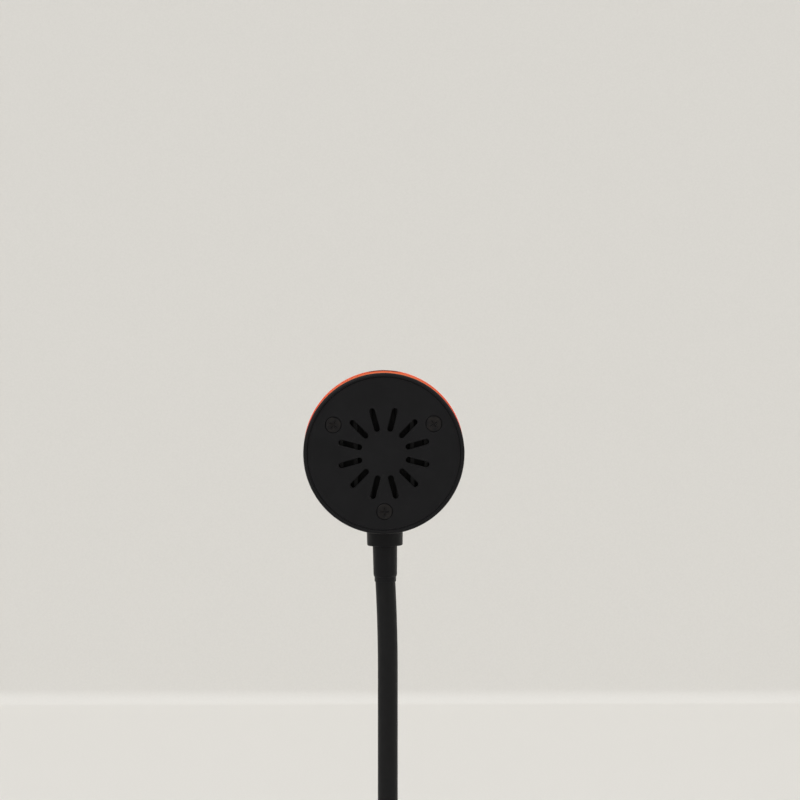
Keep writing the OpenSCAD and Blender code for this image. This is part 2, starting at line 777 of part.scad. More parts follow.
// Sleeve stretch of link k
module neck_sleeve(k) {
    from = k == 0 ? -sleeve_in : sleeve_gap / 2;
    to = k == 0 ? joint_pitch / 2 - sleeve_gap / 2
        : k == joint_n ? joint_pitch / 2 + sleeve_in
        : joint_pitch - sleeve_gap / 2;
    color(black) in_link(k) translate([0, 0, from]) difference() {
        cylinder(d = neck_d, h = to - from);
        translate([0, 0, -EPS]) cylinder(r = sleeve_bore_r, h = to - from + 2 * EPS);
    }
}

// ---- The lead ----

LEAD_SIDES = 8;
BEND_STEPS = 8; // stretches in each bend of the lead

// Point of a cubic curve with four handles
function curve(p, t) = pow(1 - t, 3) * p[0] + 3 * pow(1 - t, 2) * t * p[1]
    + 3 * (1 - t) * t * t * p[2] + t * t * t * p[3];

// A point of the head's own frame, in the lamp's frame
function from_head(p) = let (side = p[0], down = p[1], along = p[2] - neck_from_rear)
    head_at + side * [cos(head_roll), 0, sin(head_roll)] - down * up(head_roll) + [0, along, 0];

// From a pad on the driver board up and over to the lower stud's bore
lead_pad = [2.5, board_y + board_l - 2, board_top_z + lead_d / 3];
lead_base_bend = [
    lead_pad, lead_pad + [0, 0, 5], [0, 0, weight_z + 1], [0, 0, lower_stud_z]
];
// From the upper stud's bore down onto the light source's board
upper_stud_r = nut_flat_r - nut_h - stud_past;
lead_end_r = star_d / 2 - 2;
lead_end_z = star_face_z + lead_d / 2 + seat_clear;
lead_head_bend = [
    from_head([0, upper_stud_r, neck_from_rear]),
    from_head([0, upper_stud_r - 2.5, neck_from_rear]),
    from_head([0, lead_end_r + 2.5, lead_end_z + lead_d / 2]),
    from_head([0, lead_end_r, lead_end_z])
];
lead_path = concat(
    [for (i = [0:BEND_STEPS]) curve(lead_base_bend, i / BEND_STEPS)],
    [for (k = [1:joint_n]) joint_at(k)],
    [upper_mouth],
    [for (i = [0:BEND_STEPS]) curve(lead_head_bend, i / BEND_STEPS)]
);

// Direction of the path at point i
function heading(path, i) = let (
    d = path[min(i + 1, len(path) - 1)] - path[max(i - 1, 0)]
) d / norm(d);

// Ring of points round point i of the path
function ring(path, i, r, sides) = let (
    d = heading(path, i), across = cross(d, [1, 0, 0]),
    u = across / norm(across), v = cross(d, u)
) [for (j = [0:sides - 1]) path[i] + r * (cos(360 * j / sides) * u + sin(360 * j / sides) * v)];

module tube_along(path, r, sides) {
    last = len(path) - 1;
    polyhedron(
        points = [for (i = [0:last]) each ring(path, i, r, sides)],
        faces = concat(
            [for (j = [1:sides - 2]) [0, j, j + 1]],
            [for (i = [0:last - 1], j = [0:sides - 1])
                let (a = i * sides + j, b = i * sides + (j + 1) % sides)
                each [[a, a + sides, b], [b, a + sides, b + sides]]],
            [for (j = [1:sides - 2]) [last * sides, last * sides + j + 1, last * sides + j]]
        )
    );
}

module led_lead() {
    color(red) tube_along(lead_path, lead_d / 2, LEAD_SIDES);
}

// ---- The base ----

module base_shell() {
    inner_edge_r = max(base_edge_r - base_wall, 0.5);
    color(black) difference() {
        union() {
            difference() {
                translate([0, 0, shell_lift])
                    rotate_extrude() round_top_2d(base_d / 2, base_h - shell_lift, base_edge_r);
                translate([0, 0, shell_lift - EPS]) rotate_extrude()
                    round_top_2d(shell_bore_r, shell_ceiling_z - shell_lift + EPS, inner_edge_r);
            }
            translate([0, 0, weight_z + weight_th])
                on_circle(base_screw_n, base_screw_r, 180 / base_screw_n)
                    cylinder(d = boss_d, h = shell_ceiling_z - weight_z - weight_th + EPS);
        }
        at_base_screws() translate([0, 0, -base_screw_len - seat_clear])
            cylinder(d = base_screw_d + 2 * thread_clear, h = base_screw_len);
        translate([0, 0, shell_ceiling_z - EPS])
            cylinder(d = stud_d + 2 * pass_clear, h = base_wall + 2 * EPS);
        translate([0, button_y, shell_ceiling_z - EPS])
            cylinder(d = button_d + 2 * button_clear, h = base_wall + 2 * EPS);
        translate([0, -shell_bore_r + base_wall, usb_z]) rotate([90, 0, 0])
            linear_extrude(3 * base_wall)
                slot_2d(usb_w + 2 * usb_clear, usb_h + 2 * usb_clear);
    }
}

// The bottom plate's screws: each face on z = 0, and each shank along -Z
module at_base_screws() {
    translate([0, 0, plate_z]) on_circle(base_screw_n, base_screw_r, 180 / base_screw_n)
        rotate([180, 0, 0]) children();
}

module base_weight() {
    slot_w = board_w + 2 * board_clear;
    color(steel) translate([0, 0, weight_z]) difference() {
        cylinder(r = weight_r, h = weight_th);
        translate([0, 0, -EPS]) cylinder(d = weight_bore, h = weight_th + 2 * EPS);
        translate([-slot_w / 2, -base_d, -EPS]) cube([slot_w, base_d, weight_th + 2 * EPS]);
        translate([0, 0, -EPS]) on_circle(base_screw_n, base_screw_r, 180 / base_screw_n)
            cylinder(d = base_screw_d + 2 * pass_clear, h = weight_th + 2 * EPS);
    }
}

module bottom_plate() {
    standoff_h = board_z - weight_z;
    color(black) difference() {
        union() {
            translate([0, 0, plate_z]) cylinder(r = plate_r, h = plate_th);
            for (side = [-1, 1]) translate([side * board_screw_x, board_screw_y, weight_z - EPS])
                cylinder(d = standoff_d, h = standoff_h + EPS);
        }
        at_base_screws() countersunk_hole(base_screw_d, base_screw_head_d, plate_th + EPS);
        for (side = [-1, 1]) translate([side * board_screw_x, board_screw_y, plate_z + standoff_floor])
            cylinder(d = board_screw_d + 2 * thread_clear, h = standoff_h + plate_th);
    }
}

module bottom_plate_screws() {
    color(steel) at_base_screws()
        countersunk_screw(base_screw_d, base_screw_head_d, base_screw_len);
}

module foot_ring() {
    color(black) difference() {
        cylinder(r = foot_r, h = foot_h);
        translate([0, 0, -EPS]) cylinder(r = foot_r - foot_w, h = foot_h + 2 * EPS);
    }
}

module driver_board() {
    color(green) difference() {
        translate([-board_w / 2, board_y, board_z]) cube([board_w, board_l, board_th]);
        for (side = [-1, 1]) translate([side * board_screw_x, board_screw_y, board_z - EPS])
            cylinder(d = board_screw_d + 2 * pass_clear, h = board_th + 2 * EPS);
    }
}

// What stands on the board beside the socket and the switch
module driver_components() {
    color(black) translate([0, board_y, board_top_z]) {
        translate(inductor_at) cylinder(d = inductor_size[0], h = inductor_size[1]);
        translate(capacitor_at) cylinder(d = capacitor_size[0], h = capacitor_size[1]);
        translate(circuit_at) cube(circuit_size);
        for (i = [0:2]) translate(resistor_at + [i * resistor_pitch, 0, 0]) cube(resistor_size);
    }
}

module board_screws() {
    reach = board_top_z - plate_z - standoff_floor - seat_clear;
    color(steel) for (side = [-1, 1]) translate([side * board_screw_x, board_screw_y, board_top_z])
        pan_screw(board_screw_d, board_screw_head_d, board_screw_head_h, reach);
}

module usb_socket() {
    color(silver) translate([0, usb_y, usb_z]) rotate([-90, 0, 0]) difference() {
        linear_extrude(usb_l) slot_2d(usb_w, usb_h);
        translate([0, 0, -EPS]) linear_extrude(usb_l - usb_sheet + EPS)
            slot_2d(usb_w - 2 * usb_sheet, usb_h - 2 * usb_sheet);
    }
}

module usb_tongue() {
    depth = usb_l - usb_sheet;
    color(black) translate([0, usb_y, usb_z]) {
        translate([-tongue_w / 2, tongue_inset, -tongue_th / 2])
            cube([tongue_w, depth - tongue_inset, tongue_th]);
        translate([0, depth - tongue_block, 0]) rotate([-90, 0, 0]) linear_extrude(tongue_block)
            slot_2d(usb_w - 2 * usb_sheet - seat_clear, usb_h - 2 * usb_sheet - seat_clear);
    }
}

module push_switch() {
    color(steel) difference() {
        translate([-switch_w / 2, button_y - switch_w / 2, board_top_z])
            cube([switch_w, switch_w, switch_h]);
        translate([0, button_y, board_top_z + switch_h / 3])
            cylinder(d = plunger_d + 2 * plunger_clear, h = switch_h);
    }
}

module switch_plunger() {
    bottom_z = board_top_z + switch_h / 3 + button_travel + 3 * seat_clear;
    color(black) translate([0, button_y, bottom_z])
        cylinder(d = plunger_d, h = plunger_top_z - bottom_z);
}

module power_button() {
    top = base_h + button_proud - plunger_top_z;
    dish_r = button_d / 2 - 1.2 * button_edge_r;
    dish_ball = (dish_r * dish_r + button_dish * button_dish) / (2 * button_dish);
    color(black) translate([0, button_y, plunger_top_z]) difference() {
        union() {
            rotate_extrude() round_top_2d(button_d / 2, top, button_edge_r);
            translate([0, 0, button_flange_z - plunger_top_z])
                cylinder(r = button_d / 2 + button_flange_w, h = button_flange_th);
        }
        translate([0, 0, top + dish_ball - button_dish]) sphere(dish_ball);
    }
}

head_housing();
rear_cover();
rear_cover_screws();
saddle_collar();
upper_ferrule();
upper_nut();
heat_sink();
led_board();
led_emitter();
inner_screws();
lens_barrel();
condenser_lens();
sunset_filter();
filter_ring();
front_lens();
lens_gasket();
base_shell();
base_weight();
bottom_plate();
bottom_plate_screws();
foot_ring();
lower_collar();
lower_ferrule();
lower_nut();
driver_board();
driver_components();
board_screws();
usb_socket();
usb_tongue();
push_switch();
led_lead();
power_button();
switch_plunger();
for (k = [0:joint_n]) {
    neck_core(k);
    neck_sleeve(k);
}
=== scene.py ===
"""Sunset projection lamp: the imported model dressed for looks.

Lengths are millimetres in the values below and metres in the scene. The lamp stands on z = 0, throws
its light along +Y, and is seen from behind, along +Y.
"""

import json
from math import asin, cos, pi, radians, sin, tau

import bmesh
import bpy
from mathutils import Matrix, Vector


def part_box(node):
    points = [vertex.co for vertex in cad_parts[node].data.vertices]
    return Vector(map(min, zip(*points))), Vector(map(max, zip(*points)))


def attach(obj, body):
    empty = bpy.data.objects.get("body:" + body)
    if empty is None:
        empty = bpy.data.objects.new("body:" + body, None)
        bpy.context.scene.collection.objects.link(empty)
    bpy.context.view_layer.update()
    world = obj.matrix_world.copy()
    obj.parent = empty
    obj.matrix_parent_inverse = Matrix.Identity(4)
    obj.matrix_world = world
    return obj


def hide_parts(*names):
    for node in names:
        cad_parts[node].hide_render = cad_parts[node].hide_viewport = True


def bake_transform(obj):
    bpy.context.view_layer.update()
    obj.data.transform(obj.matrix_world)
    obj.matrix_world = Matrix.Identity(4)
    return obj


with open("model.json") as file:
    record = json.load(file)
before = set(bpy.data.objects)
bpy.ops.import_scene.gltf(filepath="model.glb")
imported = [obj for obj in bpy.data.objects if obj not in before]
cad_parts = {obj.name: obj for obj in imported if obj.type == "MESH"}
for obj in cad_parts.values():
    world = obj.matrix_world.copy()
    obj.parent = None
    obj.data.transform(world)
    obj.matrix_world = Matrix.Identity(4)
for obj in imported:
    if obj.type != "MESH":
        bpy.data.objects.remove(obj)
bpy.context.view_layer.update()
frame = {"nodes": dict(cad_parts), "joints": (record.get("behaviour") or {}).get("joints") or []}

MM = 0.001
SHARP = 35  # degrees between two faces from which their edge counts as sharp

# ---- Sizes, in mm ----

# Head, along the light from the housing's rear edge
HEAD_D = 50
HEAD_LEN = 34
HEAD_WALL = 2
HEAD_EDGE = 0.8  # rounding of the rear edge
LEDGE_H = 1.6  # of the ledge inside, behind the heat sink
LEDGE_TH = 1.5
SINK_Z = 9.9
COVER_INSET = 0.4
COVER_TH = 2.2
COVER_SEAT = 0.8  # how far the cover's seat is cut into the wall
FRONT_CHAMFER = 0.4
VENT_N = 12
VENT_W = 1.8
VENT_FROM = 7  # from the head's axis
VENT_TO = 14.5
COVER_SCREW_R = 18  # from the head's axis
COVER_SCREW_D = 2.5
COVER_SCREW_HEAD_D = 4.8
COVER_SCREW_LEN = 7
COVER_SCREW_CLEAR = 0.25
SCREW_EDGE = 0.12
GASKET_TH = 0.5
GASKET_W = 1.3
LENS_R = 26.45
LENS_RIM_TH = 5
LENS_CROWN = 8
LENS_STEP = 1.2  # from the rim in to the crown
LENS_SPIGOT = 2.6  # how far the lens enters the housing
LENS_CHAMFER = 0.35
LENS_PAINTED_GLOW = 2  # how far the painted glow, in place of the filter's light, tints the rim
SEAT_CLEAR = 0.1
PAST = 1  # how far a cutter starts outside what it cuts
SINK_FACE_Z = 13.4
THROAT_R = 10.6
CONDENSER_R = 11.5
CONDENSER_Z = 20
FILTER_R = 12.5
FILTER_Z = 26
FILTER_TH = 1.1
RING_W = 1.6
RING_SLOT_W = 1
BARREL_R = 14.2
BARREL_END_Z = 28.9
BARREL_FLANGE_R = 18.2
BARREL_FLANGE_TH = 1.5

# Collars and ferrules
COLLAR_D_HEAD = 11.6
COLLAR_D_FERRULE = 11.4
COLLAR_H = 5
LOWER_COLLAR_H = 4
COLLAR_EDGE = 0.4
FERRULE_D_COLLAR = 7.86
FERRULE_D_NOSE = 7.58
FERRULE_LEN = 8.8
NOSE_D = 6.9
NOSE_LEN = 2.7
NOSE_ROUND = 1.2
STUD_D = 6
STUD_BORE = 2.3
STUD_HOLE_R = 3.25
NUT_POCKET_R = 6.02
NUT_FLAT_WALL = 1.6  # what the pocket for the nut leaves of the wall
NUT_STACK = 4.4  # nut and the thread past it

# Neck
NECK_D = 6.4
SLEEVE_WALL = 0.8
SLEEVE_IN = 1.2  # how far the sleeve enters a ferrule
CORE_IN = 4
TOP_LEAN = radians(3.1)
HEAD_ROLL = radians(0.65)
LEAN_SLACK = 0.17  # room past the neck's ends, which stand in their seats at a slant
LEAD_D = 1.4
LEAD_SIDES = 24
LEAD_PAD = (2.5, -20.97, 7.27)  # on the driver board
LEAD_RISE = 5  # how strongly the lead rises from there
LEAD_TURN_Z = 4.2
LOWER_STUD_Z = 9.9
UPPER_STUD_R = 19  # from the head's axis
LEAD_END_R = 8  # on the light source's board
LEAD_END_Z = 15.8
LEAD_REACH = 2.5  # how strongly the lead runs out to there

# Base
BASE_D = 90
BASE_H = 16.5
BASE_EDGE = 5
BASE_WALL = 2.2
SHELL_LIFT = 0.9
BUTTON_Y = -29
BUTTON_D = 8.8
BUTTON_CLEAR = 0.2
BUTTON_PROUD = 0.9
BUTTON_EDGE = 0.5
BUTTON_DISH = 0.35
BUTTON_FLANGE_TH = 1.2
BUTTON_FLANGE_W = 1.2
PLUNGER_TOP_Z = 11.5
FOOT_R = 41.75
FOOT_W = 5
FOOT_H = 1.6
BOSS_AT_R = 33  # from the base's middle
BOSS_BORE_R = 1.55
BOSS_R = 3.6
BOSS_Z = 10.2
USB_W = 8.94
USB_H = 3.26
USB_L = 7.35
USB_SHEET = 0.32
USB_CLEAR = 0.35  # round the socket, in the shell's opening
TONGUE_W = 6.69
TONGUE_TH = 0.7
TONGUE_INSET = 1
TONGUE_BLOCK = 1.6
CONTACT_N = 12  # on each face of the tongue
CONTACT_W = 0.25
CONTACT_L = 3
CONTACT_TH = 0.04
CONTACT_PITCH = 0.5
CONTACT_INSET = 0.5
USB_Y = -44.1  # the socket's mouth
USB_Z = 8.43

# Camera, measured from the photograph: 1672 pixels of focal length on an 800 pixel frame
FRAME_PX = 800
FOCAL_PX = 1672
SENSOR = 36
CAMERA_BACK = 517  # behind the housing's rear edge
CAMERA_RIGHT = 4.97  # of the head's axis
CAMERA_UP = 16.57  # of the head's axis
CAMERA_TURN = radians(0.6)  # to the right
WALL_Y = 922  # where the floor turns up into the backdrop

# ---- Places, from the frame ----

low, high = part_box("head_housing")
NECK_FROM_REAR = -low.y / MM
HEAD_AT = Vector(((low.x + high.x) / 2, 0, (low.z + high.z) / 2))
FERRULE_REACH = COLLAR_H + FERRULE_LEN + NOSE_LEN


def shift(x, y, z):
    """A move in mm."""
    return Matrix.Translation(Vector((x, y, z)) * MM)


# +Z along the light from the housing's rear edge, and +Y down to the neck
HEAD = (
    Matrix.Translation(HEAD_AT)
    @ Matrix.Rotation(-HEAD_ROLL, 4, "Y")
    @ Matrix.Rotation(-pi / 2, 4, "X")
    @ shift(0, 0, -NECK_FROM_REAR)
)
# +Z from the upper ferrule's mouth to the head's axis
UPPER_FERRULE = (
    HEAD
    @ shift(0, HEAD_D / 2 + FERRULE_REACH, NECK_FROM_REAR)
    @ Matrix.Rotation(pi / 2, 4, "X")
)
LOWER_MOUTH_Z = BASE_H + LOWER_COLLAR_H + FERRULE_LEN + NOSE_LEN
# +Z from the lower ferrule's mouth down into the base
LOWER_FERRULE = shift(0, 0, LOWER_MOUTH_Z) @ Matrix.Rotation(pi, 4, "X")
BUTTON = shift(0, BUTTON_Y, 0)


# ---- Modelling, one step a call ----


def put_down_all():
    """Object mode with nothing selected, since an operator acts on all that is selected."""
    if bpy.context.mode != "OBJECT":
        bpy.ops.object.mode_set(mode="OBJECT")
    bpy.ops.object.select_all(action="DESELECT")


def take(*pieces):
    """Selects these pieces alone, the first of them active."""
    put_down_all()
    for piece in pieces:
        piece.select_set(True)
    bpy.context.view_layer.objects.active = pieces[0]


def named(name):
    """The piece just made or changed, under its name."""
    piece = bpy.context.object
    piece.name = name
    piece.data.name = name
    return piece


def edit(piece, pick="EDGE"):
    """Edit mode on a piece with none of it selected."""
    take(piece)
    bpy.ops.object.mode_set(mode="EDIT")
    bpy.ops.mesh.select_mode(type=pick)
    bpy.ops.mesh.select_all(action="DESELECT")


def select(piece, picked, kind="faces"):
    """Selects the vertices or faces of a piece, in edit mode, that a test picks."""
    mesh = bmesh.from_edit_mesh(piece.data)
    for element in getattr(mesh, kind):
        if picked(element):
            element.select = True
    mesh.select_flush_mode()
    bmesh.update_edit_mesh(piece.data)


def outwards(piece):
    """Ends edit mode with doubles merged and all faces outwards."""
    bpy.ops.mesh.select_all(action="SELECT")
    bpy.ops.mesh.remove_doubles(threshold=0.001 * MM)
    bpy.ops.mesh.normals_make_consistent(inside=False)
    bpy.ops.object.mode_set(mode="OBJECT")
    return piece


def with_modifier(piece, kind, **settings):
    """A piece after a modifier that is applied."""
    take(piece)
    modifier = piece.modifiers.new(kind.lower(), kind)
    for key, value in settings.items():
        setattr(modifier, key, value)
    bpy.ops.object.modifier_apply(modifier=modifier.name)
    return piece


def soften(piece, width, segments=2, angle=SHARP):
    """Rounds a piece's sharp edges by a width in mm."""
    return with_modifier(
        piece, "BEVEL", width=width * MM, segments=segments,
        limit_method="ANGLE", angle_limit=radians(angle),
    )


def cut(piece, *cutters):
    """Cuts the cutters out of a piece, and throws them away."""
    for cutter in cutters:
        with_modifier(piece, "BOOLEAN", operation="DIFFERENCE", solver="EXACT", object=cutter)
        bpy.data.objects.remove(cutter)
    return piece


def placed(piece, where):
    """Puts a piece where it belongs, with its place in its mesh."""
    take(piece)
    piece.matrix_world = where
    bpy.ops.object.transform_apply(location=True, rotation=True, scale=True)
    return piece


def copied(piece, name, where):
    """A copy with a mesh of its own, put where it belongs."""
    take(piece)
    bpy.ops.object.duplicate(linked=False)
    return placed(named(name), where)


def joined(name, *pieces):
    """Several pieces as one."""
    take(*pieces)
    bpy.ops.object.join()
    return named(name)


def around(count, start=0):
    """Turns about +Z to evenly spaced places on a circle, from a start in degrees."""
    return [Matrix.Rotation(radians(start) + tau * i / count, 4, "Z") for i in range(count)]


def turned(name, profile, sides=128):
    """A turned piece: its half profile, (radius, height) in mm, drawn point by point and spun round +Z."""
    put_down_all()
    bpy.ops.mesh.primitive_plane_add(size=MM)
    piece = named(name)
    bpy.ops.object.mode_set(mode="EDIT")
    bpy.ops.mesh.select_mode(type="VERT")
    bpy.ops.mesh.select_all(action="SELECT")
    bpy.ops.mesh.merge(type="CENTER")
    here = Vector((0, 0, 0))
    for step, (radius, height) in enumerate(profile):
        there = Vector((radius, 0, height)) * MM
        if step == 0:
            bpy.ops.transform.translate(value=there)
        else:
            bpy.ops.mesh.extrude_vertices_move(TRANSFORM_OT_translate={"value": there - here})
        here = there
    bpy.ops.mesh.select_all(action="SELECT")
    bpy.ops.mesh.spin(steps=sides, angle=tau, center=(0, 0, 0), axis=(0, 0, 1))
    return outwards(piece)


def ring_of(profile):
    """A profile that closes on its own start, for a piece with a bore."""
    return profile + profile[:1]


def rounding(centre, radii, start, end, steps=6):
    """Points along a rounding, from one angle to another in degrees: 0 is outwards and 90 is up."""
    angles = [radians(start + (end - start) * i / steps) for i in range(steps + 1)]
    return [(centre[0] + radii[0] * cos(a), centre[1] + radii[1] * sin(a)) for a in angles]


def crown(radius, height, base_z, steps=28):
    """Points over a crown from its edge to its pole; a negative height is a dish."""
    ball = (radius * radius + height * height) / (2 * abs(height))
    reach = asin(radius / ball)
    side = 1 if height > 0 else -1
    edge = ball * cos(reach)
    return [
        (ball * sin(reach * (1 - i / steps)), base_z + side * (ball * cos(reach * (1 - i / steps)) - edge))
        for i in range(steps + 1)
    ]


def rod(name, radius, length, sides=48, where=Matrix.Identity(4)):
    """A plain cylinder from z = 0 up, used as a cutter or a start."""
    put_down_all()
    bpy.ops.mesh.primitive_cylinder_add(
        vertices=sides, radius=radius * MM, depth=length * MM, location=(0, 0, length * MM / 2),
        rotation=(0, 0, pi / sides),
    )
    return placed_after_start(named(name), where)


def placed_after_start(piece, where):
    """Applies a primitive's own place, then puts it where it belongs."""
    take(piece)
    bpy.ops.object.transform_apply(location=True, rotation=True, scale=True)
    return placed(piece, where)


def block(name, size, centre, where=Matrix.Identity(4)):
    """A plain block, used as a cutter or a start."""
    put_down_all()
    bpy.ops.mesh.primitive_cube_add(size=1, location=Vector(centre) * MM, scale=Vector(size) * MM)
    return placed_after_start(named(name), where)


def slot_prism(name, width, height, length, where=Matrix.Identity(4)):
    """A prism along +Z with round ends along X: a rod whose two halves are pulled apart."""
    piece = rod(name, height / 2, length)
    for side in (-1, 1):
        edit(piece, "VERT")
        select(piece, lambda vert: vert.co.x * side > 0, "verts")
        bpy.ops.transform.translate(value=(side * (width - height) / 2 * MM, 0, 0))
    bpy.ops.object.mode_set(mode="OBJECT")
    return placed(piece, where)


def tube(name, ends, radius, wall=0, sides=64):
    """A tube along one smooth curve. Each end or bend is given in metres, as three points: what the curve
    leans to before it, itself, and what the curve leans to after it."""
    put_down_all()
    bpy.ops.curve.primitive_bezier_curve_add()
    line = bpy.context.object.data
    line.dimensions = "3D"
    line.twist_mode = "MINIMUM"
    line.resolution_u = 24
    line.bevel_depth = radius * MM
    line.bevel_resolution = (sides - 4) // 2
    line.use_fill_caps = not wall
    spline = line.splines[0]
    spline.bezier_points.add(len(ends) - 2)
    for point, (before, at, after) in zip(spline.bezier_points, ends):
        point.handle_left_type = point.handle_right_type = "FREE"
        point.co, point.handle_left, point.handle_right = at, before, after
    bpy.ops.object.convert(target="MESH")
    piece = named(name)
    edit(piece)
    outwards(piece)
    if wall:
        with_modifier(piece, "SOLIDIFY", thickness=wall * MM, offset=-1, use_even_offset=True)
    return placed(piece, Matrix.Identity(4))


# ---- Materials ----

NOISE_LOW, NOISE_HIGH = 0.3, 0.7  # between which nearly all of a noise lies


def srgb(code):
    """An sRGB hex colour as the linear values that a shader takes."""
    parts = [int(code[i:i + 2], 16) / 255 for i in (1, 3, 5)]
    return (*[c / 12.92 if c <= 0.04045 else ((c + 0.055) / 1.055) ** 2.4 for c in parts], 1)


def per(size):
    """Scale of a pattern on Object coordinates whose feature is that many mm."""
    return 1 / (size * MM)


def add_node(material, kind, inputs=None, **settings):
    """Adds a node to a material or the world, with its settings, and its inputs as values or as sockets to
    link."""
    tree = material.node_tree
    node = tree.nodes.new("ShaderNode" + kind)
    for key, value in settings.items():
        setattr(node, key, value)
    for key, value in (inputs or {}).items():
        if isinstance(value, bpy.types.NodeSocket):
            tree.links.new(value, node.inputs[key])
        else:
            node.inputs[key].default_value = value
    return node


def finish_of(name, shader):
    """A new material with one Principled shader, whose inputs are given when its pattern is made."""
    material = bpy.data.materials.new(name)
    material.use_nodes = True
    material.node_tree.nodes.clear()
    coords = add_node(material, "TexCoord").outputs["Object"]
    surface = add_node(material, "BsdfPrincipled", shader(material, coords))
    add_node(material, "OutputMaterial", {"Surface": surface.outputs[0]})
    return material


def speckle(material, coords, size, detail=2, stretch=(1, 1, 1)):
    """Fine noise with grains of a size in mm, drawn out along an axis by a stretch below 1."""
    if stretch != (1, 1, 1):
        coords = add_node(material, "Mapping", {"Vector": coords, "Scale": stretch}).outputs[0]
    noise = add_node(
        material, "TexNoise", {"Vector": coords, "Scale": per(size), "Detail": detail, "Roughness": 0.55}
    )
    return noise.outputs["Fac"]


def between(material, factor, low, high):
    """A value that follows a pattern between two limits."""
    span = add_node(
        material, "MapRange",
        {"Value": factor, "From Min": NOISE_LOW, "From Max": NOISE_HIGH, "To Min": low, "To Max": high},
    )
    return span.outputs[0]


def graded(material, factor, *stops):
    """A colour that follows a factor through stops, each a position and a hex colour."""
    ramp = add_node(material, "ValToRGB", {"Fac": factor})
    elements = ramp.color_ramp.elements
    elements.remove(elements[1])
    for step, (position, code) in enumerate(stops):
        stop = elements[0] if step == 0 else elements.new(position)
        stop.position = position
        stop.color = srgb(code)
    return ramp.outputs["Color"]


def tint(material, factor, low, high):
    """A colour that follows a pattern between two hex colours."""
    return graded(material, factor, (NOISE_LOW, low), (NOISE_HIGH, high))


def distance_from(material, coords, centre, across=(1, 1, 1)):
    """Distance of a point from a centre, along the axes that count."""
    place = -Vector([c * a for c, a in zip(centre, across)])
    moved = add_node(material, "Mapping", {"Vector": coords, "Location": place, "Scale": across})
    return add_node(material, "VectorMath", {0: moved.outputs[0]}, operation="LENGTH").outputs["Value"]


def share_of(material, value, start, end):
    """How far a value in metres has come from a start to an end in mm, from 0 to 1."""
    span = add_node(material, "MapRange", {"Value": value, "From Min": start * MM, "From Max": end * MM})
    return span.outputs[0]


def relief(material, height, depth, strength=0.5):
    """Bump of a depth in mm from a pattern."""
    bump = add_node(material, "Bump", {"Height": height, "Distance": depth * MM, "Strength": strength})
    return bump.outputs["Normal"]


def turning_marks(material, coords, pitch, direction):
    """Rings left by a lathe across the turning axis."""
    wave = add_node(
        material, "TexWave",
        {"Vector": coords, "Scale": per(pitch) / 20, "Distortion": 0.6, "Detail": 2, "Detail Scale": 4},
        wave_type="BANDS", bands_direction=direction,
    )
    return wave.outputs["Fac"]


def anodised_aluminium(name, direction):
    """Turned and bead blasted aluminium, anodised black: a deep even black with a soft wide sheen, a fine
    grain and faint rings from the lathe. The grain of 0.1 mm is drawn at 0.35 mm, and the rings of 0.15 mm at
    0.5 mm, so that they show."""

    def shader(material, coords):
        grain = speckle(material, coords, 0.35, 3)
        cloud = speckle(material, coords, 9, 3)
        rings = turning_marks(material, coords, 0.5, direction)
        height = add_node(
            material, "Math", {0: grain, 1: 0.35, 2: rings}, operation="MULTIPLY_ADD"
        ).outputs[0]
        return {
            "Base Color": tint(material, cloud, "#0E0E10", "#131315"),
            "Roughness": between(material, grain, 0.38, 0.5),
            "Specular IOR Level": 0.14,
            "Normal": relief(material, height, 0.004, 0.35),
        }

    return finish_of(name, shader)


def powder_coat():
    """Polyester powder coat baked on steel: satin black with a fine orange peel of about 0.8 mm."""

    def shader(material, coords):
        peel = speckle(material, coords, 0.8, 2)
        grain = speckle(material, coords, 0.3, 2)
        cloud = speckle(material, coords, 14, 3)
        height = add_node(
            material, "Math", {0: grain, 1: 0.4, 2: peel}, operation="MULTIPLY_ADD"
        ).outputs[0]
        return {
            "Base Color": tint(material, cloud, "#0F0F10", "#141415"),
            "Roughness": between(material, cloud, 0.42, 0.5),
            "Specular IOR Level": 0.16,
            "Normal": relief(material, height, 0.012, 0.5),
        }

    return finish_of("satin black powder coat", shader)


def silicone_sleeve():
    """Extruded silicone: soft satin black with faint lengthwise lines from the die and a little lint dust."""

    def shader(material, coords):
        lines = speckle(material, coords, 0.5, 3, (1, 1, 0.03))
        dust = speckle(material, coords, 2.2, 4)
        return {
            "Base Color": tint(material, dust, "#0D0D0E", "#121213"),
            "Roughness": between(material, dust, 0.44, 0.56),
            "Specular IOR Level": 0.15,
            "Sheen Weight": 0.03,
            "Sheen Roughness": 0.5,
            "Normal": relief(material, lines, 0.01, 0.4),
        }

    return finish_of("black silicone sleeve", shader)


def zinc_plate():
    """Steel with bright zinc: cool grey metal, a little blotchy from the bath."""

    def shader(material, coords):
        blotch = speckle(material, coords, 1.5, 4)
        return {
            "Base Color": tint(material, blotch, "#A6A9AC", "#BFC1C2"),
            "Metallic": 1,
            "Roughness": between(material, blotch, 0.24, 0.4),
            "Normal": relief(material, speckle(material, coords, 0.3), 0.004, 0.4),
        }

    return finish_of("bright zinc plate", shader)


def black_oxide():
    """Steel blackened in a bath: dark metal with an oily sheen, browner where it is thin."""

    def shader(material, coords):
        blotch = speckle(material, coords, 1.2, 4)
        return {
            "Base Color": tint(material, blotch, "#232325", "#2E2C2B"),
            "Metallic": 1,
            "Roughness": between(material, blotch, 0.3, 0.42),
            "Normal": relief(material, speckle(material, coords, 0.25), 0.004, 0.4),
        }

    return finish_of("black oxide steel", shader)


